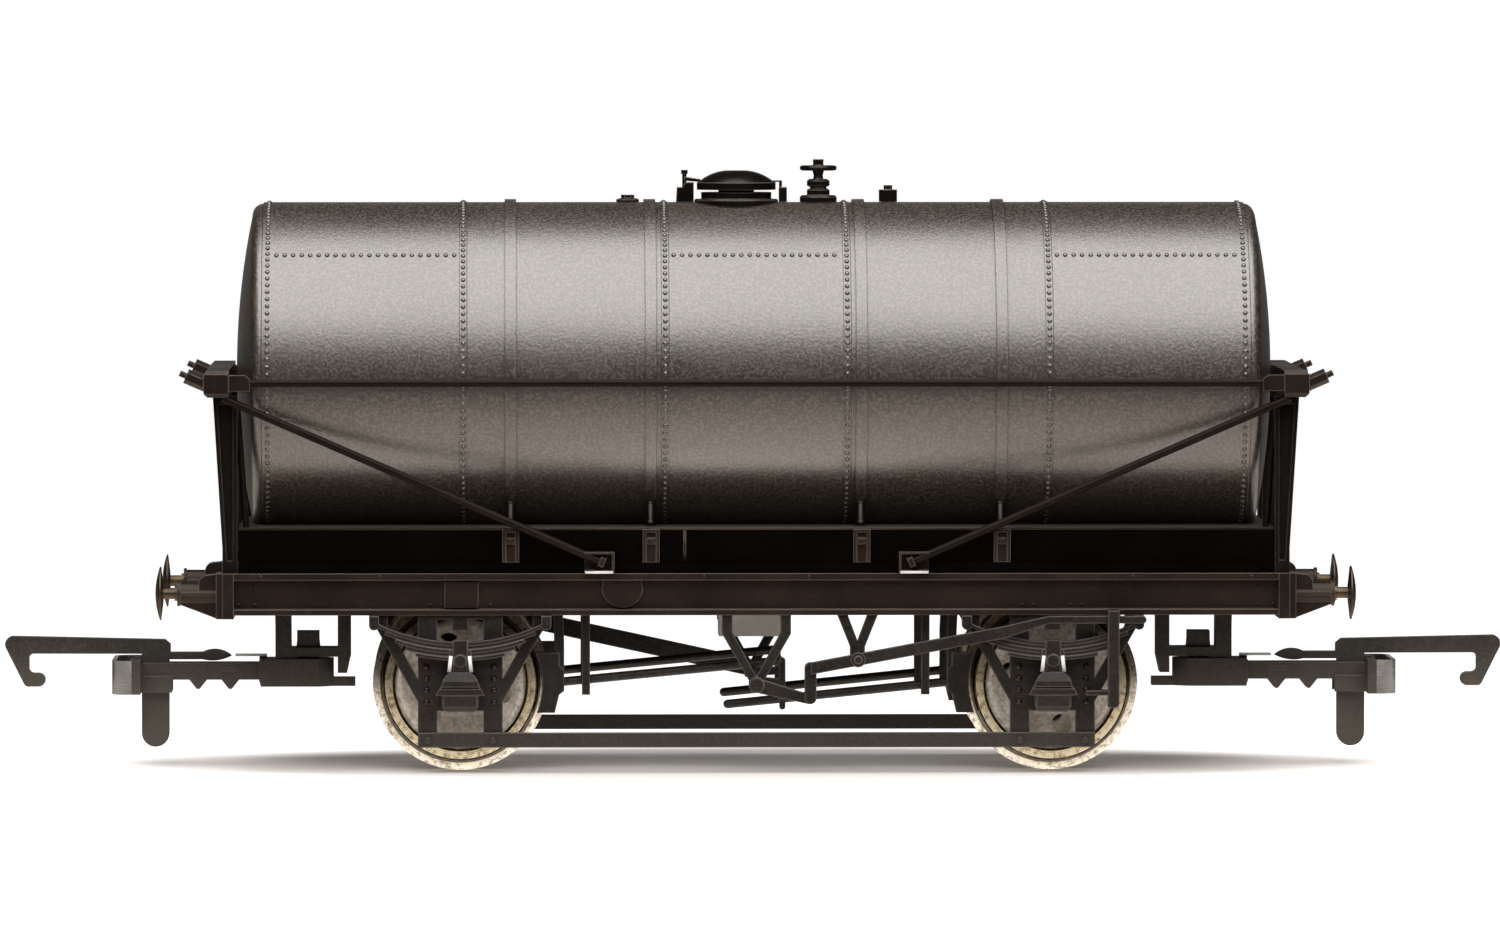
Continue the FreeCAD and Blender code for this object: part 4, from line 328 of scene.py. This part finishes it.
# The tank's small fittings and the W-irons' rivets: a thin satin black whose edges are painted paler as a glinting
# highlight, and which is otherwise dark against the tank's lamp reflections.
FITTING, shader = dry_finish("brushed satin black paint", "#0C0907", "#130F0B", roughness=0.24, grain_mm=0.2,
                             bump_mm=0.01, blotch_mm=2.0, drift=0.08, dust=0.04, edge_mm=EDGE_R, wear_and_highlight=0.9)
set_gloss(shader, 1.5, 0.4, "#FFE8D8")
# Neutral dark grey moulding with a slight waxy sheen. Near the rail it is painted paler, as light thrown up from
# the table, and its edges are painted paler as a highlight.
GEAR, shader = dry_finish("moulded dark grey acetal", "#0E0D0C", "#191716", roughness=0.44, grain_mm=0.25,
                          bump_mm=0.035, blotch_mm=4.0, drift=0.14, speckle=0.06, edge_mm=1.5 * EDGE_R, wear_and_highlight=0.65,
                          painted_light_by_height=(4.5, 3.0, 0.12))
set_gloss(shader, 1.48, 0.3, "#FFF2E6")
# A pale grey, unpainted moulding: soft and almost without blotches.
LIGHT_GREY = dry_finish("moulded light grey acetal", "#D6D2CA", "#E6E2DA", roughness=0.5, grain_mm=0.3,
                        bump_mm=0.004, blotch_mm=3.0, drift=0.1)[0]
# Grainy dark nylon with a little dust. Towards the drop arm's foot it is painted greyer, as light thrown up from
# the table, and its edges are painted a little paler as a highlight.
COUPLING, shader = dry_finish("moulded charcoal nylon", "#0D0C0B", "#161412", roughness=0.5, grain_mm=0.26,
                              bump_mm=0.03, blotch_mm=4.0, dust=0.12, speckle=0.1, edge_mm=EDGE_R, wear_and_highlight=0.3,
                              painted_light_by_height=(11.0, 5.0, 0.4))
set_gloss(shader, 1.5, 0.38, "#FFF4EA")
# Pale beige moulding with a coarse brown speckle, as seen between the W-irons' legs.
DISC = dry_finish("moulded grey-beige nylon", "#C2B4A2", "#F4EADC", roughness=0.5, grain_mm=0.3, bump_mm=0.02,
                  blotch_mm=0.7, speckle=0.35)[0]
# Bright strip with a soft sheen along the roll, and a brown-black turned steel that glints at its rim.
BRIGHT = bright_metal("bright-rolled steel strip", "#BDBBB6", "#D9D7D2", 0.24, 0.12, 0.003)
HEAD = bright_metal("blackened turned steel", "#45382C", "#6A5A48", 0.38, 0.14, 0.004)
# Bright warm rings between two dark bands of painted shade.
TYRE = turned_brass("nickel-plated turned brass")

SLOT_MATERIAL = {"tank": TANK, "underframe": FRAME_BLACK, "stay": STAY, "running_gear": GEAR, "outlet": LIGHT_GREY,
                 "coupling": COUPLING, "bright_steel": BRIGHT, "tyre": TYRE, "wheel_disc": DISC, "buffer_head": HEAD}
NODE_MATERIAL = {"cradle": CRADLE, "end_posts_left": END_POST, "end_posts_right": END_POST}
NODE_MATERIAL.update({name: FITTING for name in ("manhole_lid", "manhole_neck", "manhole_clamps", "filling_valve",
                                                 "valve_handwheel", "vent_pipe", "filler_plug")})
for part in frame["record"]["subparts"]:
    mesh = NODES[part["node"]].data
    mesh.materials.clear()
    mesh.materials.append(NODE_MATERIAL.get(part["node"], SLOT_MATERIAL[part["material_slot"]]))


def grid_mesh(name, points, faces):
    """A mesh piece from an array of points in metres and an array of quads."""
    mesh = bpy.data.meshes.new(name)
    mesh.vertices.add(len(points))
    mesh.vertices.foreach_set("co", np.asarray(points, np.float32).ravel())
    mesh.loops.add(faces.size)
    mesh.loops.foreach_set("vertex_index", faces.ravel().astype(np.int32))
    mesh.polygons.add(len(faces))
    mesh.polygons.foreach_set("loop_start", np.arange(len(faces), dtype=np.int32) * 4)
    mesh.update(calc_edges=True)
    mesh.validate()
    piece = bpy.data.objects.new(name, mesh)
    SCENE.collection.objects.link(piece)
    return piece


def lathe(profile, segments):
    """Unit shape for heads and nuts: point (k, j) is the profile's k-th (radius, height) turned to the j-th
    of the segments' angles about Z. Both ends of the profile lie near the axis, so the shape is closed."""
    profile = np.array(profile, float)
    angle = np.arange(segments) * 2 * math.pi / segments
    radius, height = profile[:, 0][:, None], profile[:, 1][:, None]
    points = np.stack([radius * np.cos(angle), radius * np.sin(angle), height + 0 * angle], -1).reshape(-1, 3)
    k, j = np.meshgrid(np.arange(len(profile) - 1), np.arange(segments), indexing="ij")
    after = (j + 1) % segments
    faces = np.stack([k * segments + j, k * segments + after, (k + 1) * segments + after, (k + 1) * segments + j], -1)
    return points, faces.reshape(-1, 4)


def spread(name, shape, places, outward, material, body="wagon", size=1.0):
    """Copies one unit shape to many places (millimetres): each copy's Z axis is turned to its outward
    direction, its other axes are the cross products of that direction with the wagon's X or Z axis."""
    points, faces = shape
    places = np.asarray(places, float)
    z = np.broadcast_to(np.asarray(outward, float), places.shape)
    z = z / np.linalg.norm(z, axis=1, keepdims=True)
    helper = np.where(np.abs(z[:, :1]) > 0.9, [[0.0, 0.0, 1.0]], [[1.0, 0.0, 0.0]])
    x = np.cross(helper, z)
    x /= np.linalg.norm(x, axis=1, keepdims=True)
    y = np.cross(z, x)
    turned = (points[None, :, 0:1] * x[:, None] + points[None, :, 1:2] * y[:, None] + points[None, :, 2:3] * z[:, None])
    everything = (turned * size + places[:, None]).reshape(-1, 3) * MM
    steps = np.arange(len(places))[:, None, None] * len(points)
    piece = grid_mesh(name, everything, (faces[None] + steps).reshape(-1, 4))
    piece.data.materials.append(material)
    piece.data.shade_smooth()
    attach(piece, body)
    return piece


def both_sides(points):
    """The places and their mirror images on the far side."""
    points = np.asarray(points, float)
    return np.concatenate([points, points * (1, -1, 1)])


def all_corners(points):
    """The places mirrored to both sides and both ends."""
    points = both_sides(points)
    return np.concatenate([points, points * (-1, 1, 1)])


def strips(name, paths, half_width, half_depth, slot, material, body="wagon"):
    """Rounded flat strips along straight or bent paths in millimetres, lying against a side of the wagon. The point
    at angle a of a path's station is the station plus its cross direction times the half width times cos a, plus
    the outward direction times the half depth times sin a, each with its size raised to 0.4, which squares the
    oval. Both ends shrink to a point, so that the strip is closed."""
    paths = np.asarray(paths, float)
    along = np.gradient(paths, axis=1)
    along = np.concatenate([along[:, :1], along, along[:, -1:]], 1)
    paths = np.concatenate([paths[:, :1], paths, paths[:, -1:]], 1)
    shrink = np.ones(paths.shape[1])
    shrink[[0, -1]] = 0.001
    outward = np.stack([0 * paths[..., 0], np.sign(paths[..., 1]), 0 * paths[..., 0]], -1)
    across = np.cross(along, outward)
    across /= np.linalg.norm(across, axis=-1, keepdims=True)
    angle = np.arange(STRIP_SIDES) * 2 * math.pi / STRIP_SIDES
    c = np.sign(np.cos(angle)) * np.abs(np.cos(angle)) ** 0.4 * half_width
    d = np.sign(np.sin(angle)) * np.abs(np.sin(angle)) ** 0.4 * half_depth
    size = shrink[None, :, None, None]
    points = (paths[:, :, None] + across[:, :, None] * c[None, None, :, None] * size
              + outward[:, :, None] * d[None, None, :, None] * size)
    count, stations = paths.shape[:2]
    n, k, j = np.meshgrid(np.arange(count), np.arange(stations - 1), np.arange(STRIP_SIDES), indexing="ij")
    first = (n * stations + k) * STRIP_SIDES
    after = (j + 1) % STRIP_SIDES
    faces = np.stack([first + j, first + after, first + STRIP_SIDES + after, first + STRIP_SIDES + j], -1)
    piece = grid_mesh(name, points.reshape(-1, 3) * MM, faces.reshape(-1, 4))
    piece.data.materials.append(material)
    piece.data.shade_smooth()
    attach(piece, body)
    return piece


# A round head: its radius over height follows a low dome, with a flat base just inside the plate.
DOME = lathe([(0.001, -0.05), (RIVET_R, -0.05), (RIVET_R, 0.01), (RIVET_R * 0.86, RIVET_H * 0.55),
              (RIVET_R * 0.5, RIVET_H * 0.9), (0.001, RIVET_H)], 10)
# A hexagon nut with its corners taken off at the top.
NUT = lathe([(0.001, -0.05), (0.34, -0.05), (0.34, 0.24), (0.28, 0.3), (0.001, 0.3)], 6)

# Round the barrel: an angle measured from the top, as far down as the cradle's seat lets a row run.
half_turn = np.radians(SEAT_ANGLE)


def ring_row(x, radius, pitch):
    """Places (x, r sin a, centre + r cos a) with the angle a stepped by pitch over radius."""
    count = int(2 * half_turn * radius / pitch)
    a = np.linspace(-half_turn, half_turn, count)
    return np.stack([np.full(count, x), radius * np.sin(a), TANK_Z + radius * np.cos(a)], -1)


def lap_row(start, end):
    """Places along a level plate lap on both sides of the barrel, stepped by the lap's pitch."""
    x = np.arange(start, end, LAP_PITCH)
    y = math.sqrt(TANK_R ** 2 - (LAP_Z - TANK_Z) ** 2)
    return both_sides(np.stack([x, np.full(len(x), -y), np.full(len(x), LAP_Z)], -1))


rows = [ring_row(side * x, TANK_R + SEAM_T, RING_PITCH) for x in SEAM_X for side in (-1, 1)]
rows += [ring_row(side * END_ROW_X, TANK_R, END_PITCH) for side in (-1, 1)]
rows += [lap_row(-SEAM_X[0] + 0.7, SEAM_X[0] - 0.5), lap_row(SEAM_X[1] + 0.7, END_ROW_X - 0.4)]
rows += [lap_row(-END_ROW_X + 0.7, -SEAM_X[1] - 0.4)]
rivets = np.concatenate(rows)
spread("barrel_rivets", DOME, rivets, (rivets - (0, 0, TANK_Z)) * (0, 1, 1), TANK)

# W-iron rivets in two columns, and the bolts that hold the tie bar to the legs' feet.
iron = all_corners([(AXLE_X + side * W_IRON_RIVET_DX, -W_IRON_FACE, z) for z in W_IRON_RIVET_Z for side in (-1, 1)])
spread("w_iron_rivets", DOME, iron, iron * (0, 1, 0), FITTING, size=1.35)
bolts = all_corners([(AXLE_X + side * TIE_BOLT_DX, -W_IRON_FACE - NUT_PROUD, TIE_BOLT_Z) for side in (-1, 1)])
spread("tie_bar_bolts", NUT, bolts, bolts * (0, 1, 0), GEAR, size=0.9)

# Solebar flange bolts and the nuts on the strap brackets.
flange = all_corners([(x, -SOLEBAR_FACE, SOLEBAR_TOP - FLANGE_BOLT_DROP) for x in FLANGE_BOLT_X])
spread("solebar_bolts", DOME, flange, flange * (0, 1, 0), FRAME_BLACK, size=0.9)
bracket = all_corners([(x, -CRADLE_FACE - NUT_PROUD, BRACKET_NUT_Z) for x in STRAP_X])
spread("bracket_nuts", NUT, bracket, bracket * (0, 1, 0), FRAME_BLACK, size=0.9)

# Small bolt heads in the solebars' webs, at their ends and over the W-irons.
web = [(x, -SOLEBAR_WEB, z) for x in END_BOLT_X for z in END_BOLT_Z]
web += [(AXLE_X + dx, -SOLEBAR_WEB, WEB_BOLT_Z) for dx in WEB_BOLT_DX]
web = all_corners(web)
spread("web_bolts", DOME, web, web * (0, 1, 0), FRAME_BLACK, size=0.8)

# The U bolt over each axlebox and a strip under each stay anchor, both pale grey as painted highlights, and the
# cover strip on the cradle.
clip = [[(AXLE_X + side * dx, -CLIP_FACE, z) for dx, z in (U_BOLT_TOP, U_BOLT_FOOT)] for side in (-1, 1)]
clip = np.array(clip)
clip = np.concatenate([clip, clip * (-1, 1, 1)])
strips("spring_u_bolt_highlights", np.concatenate([clip, clip * (1, -1, 1)]), *U_BOLT_HIGHLIGHT_STRIP, "outlet", LIGHT_GREY)
face = -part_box("stay_anchors")[0][1] / MM
foot = np.array([[(side * x, -face, ANCHOR_FOOT_Z) for x in ANCHOR_STRIP_X] for side in (-1, 1)])
strips("anchor_foot_highlights", np.concatenate([foot, foot * (1, -1, 1)]), *ANCHOR_HIGHLIGHT_STRIP, "outlet", LIGHT_GREY)
cover = np.array([[(BUTT_X, -CRADLE_FACE, z) for z in COVER_STRIP_Z]])
strips("cradle_cover_strips", np.concatenate([cover, cover * (-1, -1, 1)]), *COVER_STRIP, "underframe", FRAME_BLACK)

# A bead along the cradle's top edge, and a tall nut on each strap's bolt.
cradle_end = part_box("cradle")[1][0] / MM
bead = np.array([[(side * cradle_end, -CRADLE_FACE, CRADLE_TOP - EDGE_BEAD[0]) for side in (-1, 1)]])
strips("cradle_edge_beads", np.concatenate([bead, bead * (1, -1, 1)]), *EDGE_BEAD, "underframe", FRAME_BLACK)
TALL_NUT = lathe([(0.001, -0.05), (0.44, -0.05), (0.44, 0.4), (0.36, 0.46), (0.36, 1.8), (0.3, 1.86), (0.001, 1.86)], 8)
nuts = all_corners([(x, -STRAP_BOLT_Y, CRADLE_TOP) for x in STRAP_X])
spread("strap_nuts", TALL_NUT, nuts, (0, 0, 1), FITTING)

corners = [(FLOOR_LEFT, FLOOR_FRONT, 0.0), (FLOOR_RIGHT, FLOOR_FRONT, 0.0), (FLOOR_RIGHT, FLOOR_BACK, 0.0),
           (FLOOR_LEFT, FLOOR_BACK, 0.0)]
floor = grid_mesh("floor", corners, np.array([[0, 1, 2, 3]]))
FLOOR, shader = new_material("white table card")
shader.inputs["Roughness"].default_value = 0.9
shader.inputs["Specular IOR Level"].default_value = 0.1
paths = add(FLOOR, "ShaderNodeLightPath")
bounced = add(FLOOR, "ShaderNodeMath", {"operation": "MAXIMUM"}, i0=paths.outputs["Is Glossy Ray"],
              i1=paths.outputs["Is Transmission Ray"])
# The card's colour is a painted pool of light: pale round the wagon and painted darker in the room's depth. What
# the camera sees of it grows to white outside an oval round the wagon, so that neither its edge nor the lamp's wide
# half-shadow can be seen.
place = add(FLOOR, "ShaderNodeTexCoord").outputs["Object"]
flat = add(FLOOR, "ShaderNodeVectorMath", {"operation": "MULTIPLY", "i1": (0.5, 1.0, 0.0)}, i0=place)
distance = add(FLOOR, "ShaderNodeVectorMath", {"operation": "LENGTH"}, i0=flat.outputs[0])
painted_pool = add(FLOOR, "ShaderNodeMapRange", {"From Min": FALL_FROM, "From Max": FALL_TO, "To Min": 1.0, "To Max": 0.0},
           Value=distance.outputs["Value"])
oval = add(FLOOR, "ShaderNodeVectorMath", {"operation": "DIVIDE", "i1": (SHADE_X * MM, SHADE_Y * MM, 1.0)}, i0=place)
oval = add(FLOOR, "ShaderNodeVectorMath", {"operation": "MULTIPLY", "i1": (1.0, 1.0, 0.0)}, i0=oval.outputs[0])
reach = add(FLOOR, "ShaderNodeVectorMath", {"operation": "LENGTH"}, i0=oval.outputs[0])
outside = add(FLOOR, "ShaderNodeMapRange", {"interpolation_type": "SMOOTHSTEP", "From Min": 0.75, "From Max": 1.2},
              Value=reach.outputs["Value"])
# Painted light: the card glows brightest to reflections close to the wagon, and less with the painted pool.
close = add(FLOOR, "ShaderNodeMapRange", {"interpolation_type": "SMOOTHSTEP", "From Min": 0.5, "From Max": 1.3,
                                          "To Min": MIRRORED_GLOW, "To Max": 0.0}, Value=reach.outputs["Value"])
mirrored = add(FLOOR, "ShaderNodeMath", {"operation": "MULTIPLY"}, i0=close.outputs[0], i1=painted_pool.outputs[0])
near = add(FLOOR, "ShaderNodeMix", {"i2": 0.0}, i0=bounced.outputs[0], i3=mirrored.outputs[0])
direct = add(FLOOR, "ShaderNodeMath", {"operation": "MULTIPLY", "i1": CAMERA_GLOW}, i0=paths.outputs["Is Camera Ray"])
near = add(FLOOR, "ShaderNodeMath", {"operation": "ADD"}, i0=near.outputs[0], i1=direct.outputs[0])
far = add(FLOOR, "ShaderNodeMath", {"operation": "MULTIPLY"}, i0=outside.outputs[0], i1=paths.outputs["Is Camera Ray"])
own = add(FLOOR, "ShaderNodeMath", {"operation": "ADD"}, i0=near.outputs[0], i1=far.outputs[0])
card = add(FLOOR, "ShaderNodeValToRGB", {"stops": [(0.0, "#303030"), (1.0, "#E1D8CF")]}, Fac=painted_pool.outputs[0])
feed(FLOOR, shader, Emission_Strength=own.outputs[0], Base_Color=card.outputs[0])
shader.inputs["Emission Color"].default_value = linear("#FFFFFF")
floor.data.materials.append(FLOOR)

# The room is dark grey. The camera sees it white, and reflections towards the wall behind the wagon see it dimly.
world = bpy.data.worlds.new("studio")
SCENE.world = world
world.use_nodes = True
world.node_tree.nodes.clear()
paths = add(world, "ShaderNodeLightPath")
ahead = add(world, "ShaderNodeSeparateXYZ", None, Vector=add(world, "ShaderNodeTexCoord").outputs["Generated"])
wall = add(world, "ShaderNodeMapRange", {"From Min": 0.93, "From Max": 0.98, "To Min": 0.0, "To Max": 0.3},
           Value=ahead.outputs[1])
bounce = add(world, "ShaderNodeMath", {"operation": "MAXIMUM"}, i0=paths.outputs["Is Glossy Ray"],
             i1=paths.outputs["Is Transmission Ray"])
bounce = add(world, "ShaderNodeMath", {"operation": "MULTIPLY"}, i0=bounce.outputs[0], i1=wall.outputs[0])
seen = add(world, "ShaderNodeMath", {"operation": "MAXIMUM"}, i0=paths.outputs["Is Camera Ray"], i1=bounce.outputs[0])
room = add(world, "ShaderNodeBackground", {"Color": linear("#252525"), "Strength": 1.0})
white = add(world, "ShaderNodeBackground", {"Color": linear("#FFFFFF"), "Strength": 1.0})
mix = add(world, "ShaderNodeMixShader", None, i0=seen.outputs[0], i1=room.outputs[0], i2=white.outputs[0])
add(world, "ShaderNodeOutputWorld", None, Surface=mix.outputs[0])


def softbox(name, elevation, distance, width, height, radiance, colour="#FFFFFF", mirrored=True):
    """A rectangular lamp in front of the wagon at this elevation in degrees (past 90, behind it), turned towards the
    tank. Its power is its radiance times its area times pi. A fill lamp isn't mirrored in the paint."""
    lamp = bpy.data.lights.new(name, "AREA")
    lamp.shape = "RECTANGLE"
    lamp.size = width
    lamp.size_y = height
    lamp.energy = radiance * width * height * math.pi
    lamp.color = linear(colour)[:3]
    piece = bpy.data.objects.new(name, lamp)
    SCENE.collection.objects.link(piece)
    piece.visible_glossy = mirrored
    rise = math.radians(elevation)
    piece.location = (0, -distance * math.cos(rise), distance * math.sin(rise))
    piece.rotation_euler = (Vector((0, 0, 0.03)) - piece.location).to_track_quat("-Z", "Y").to_euler()


softbox("overhead softbox", elevation=65, distance=1.0, width=1.6, height=1.7, radiance=3.25, colour="#F9FBFF")
softbox("rear fill", elevation=125, distance=1.0, width=1.2, height=0.8, radiance=0.5, mirrored=False)
softbox("front fill", elevation=28, distance=1.2, width=1.0, height=0.6, radiance=1.8, mirrored=False)

camera_data = bpy.data.cameras.new("camera")
camera_data.sensor_width = SENSOR
camera_data.lens = PIXELS_PER_MM * -CAMERA_Y / PHOTO_W * SENSOR
camera_data.clip_start = 0.01
camera = bpy.data.objects.new("camera", camera_data)
SCENE.collection.objects.link(camera)
camera.location = (CAMERA_X * MM, CAMERA_Y * MM, CAMERA_Z * MM)
camera.rotation_euler = (Vector((AIM_X * MM, 0, AIM_Z * MM)) - camera.location).to_track_quat("-Z", "Y").to_euler()
SCENE.camera = camera
SCENE.view_settings.view_transform = "Standard"
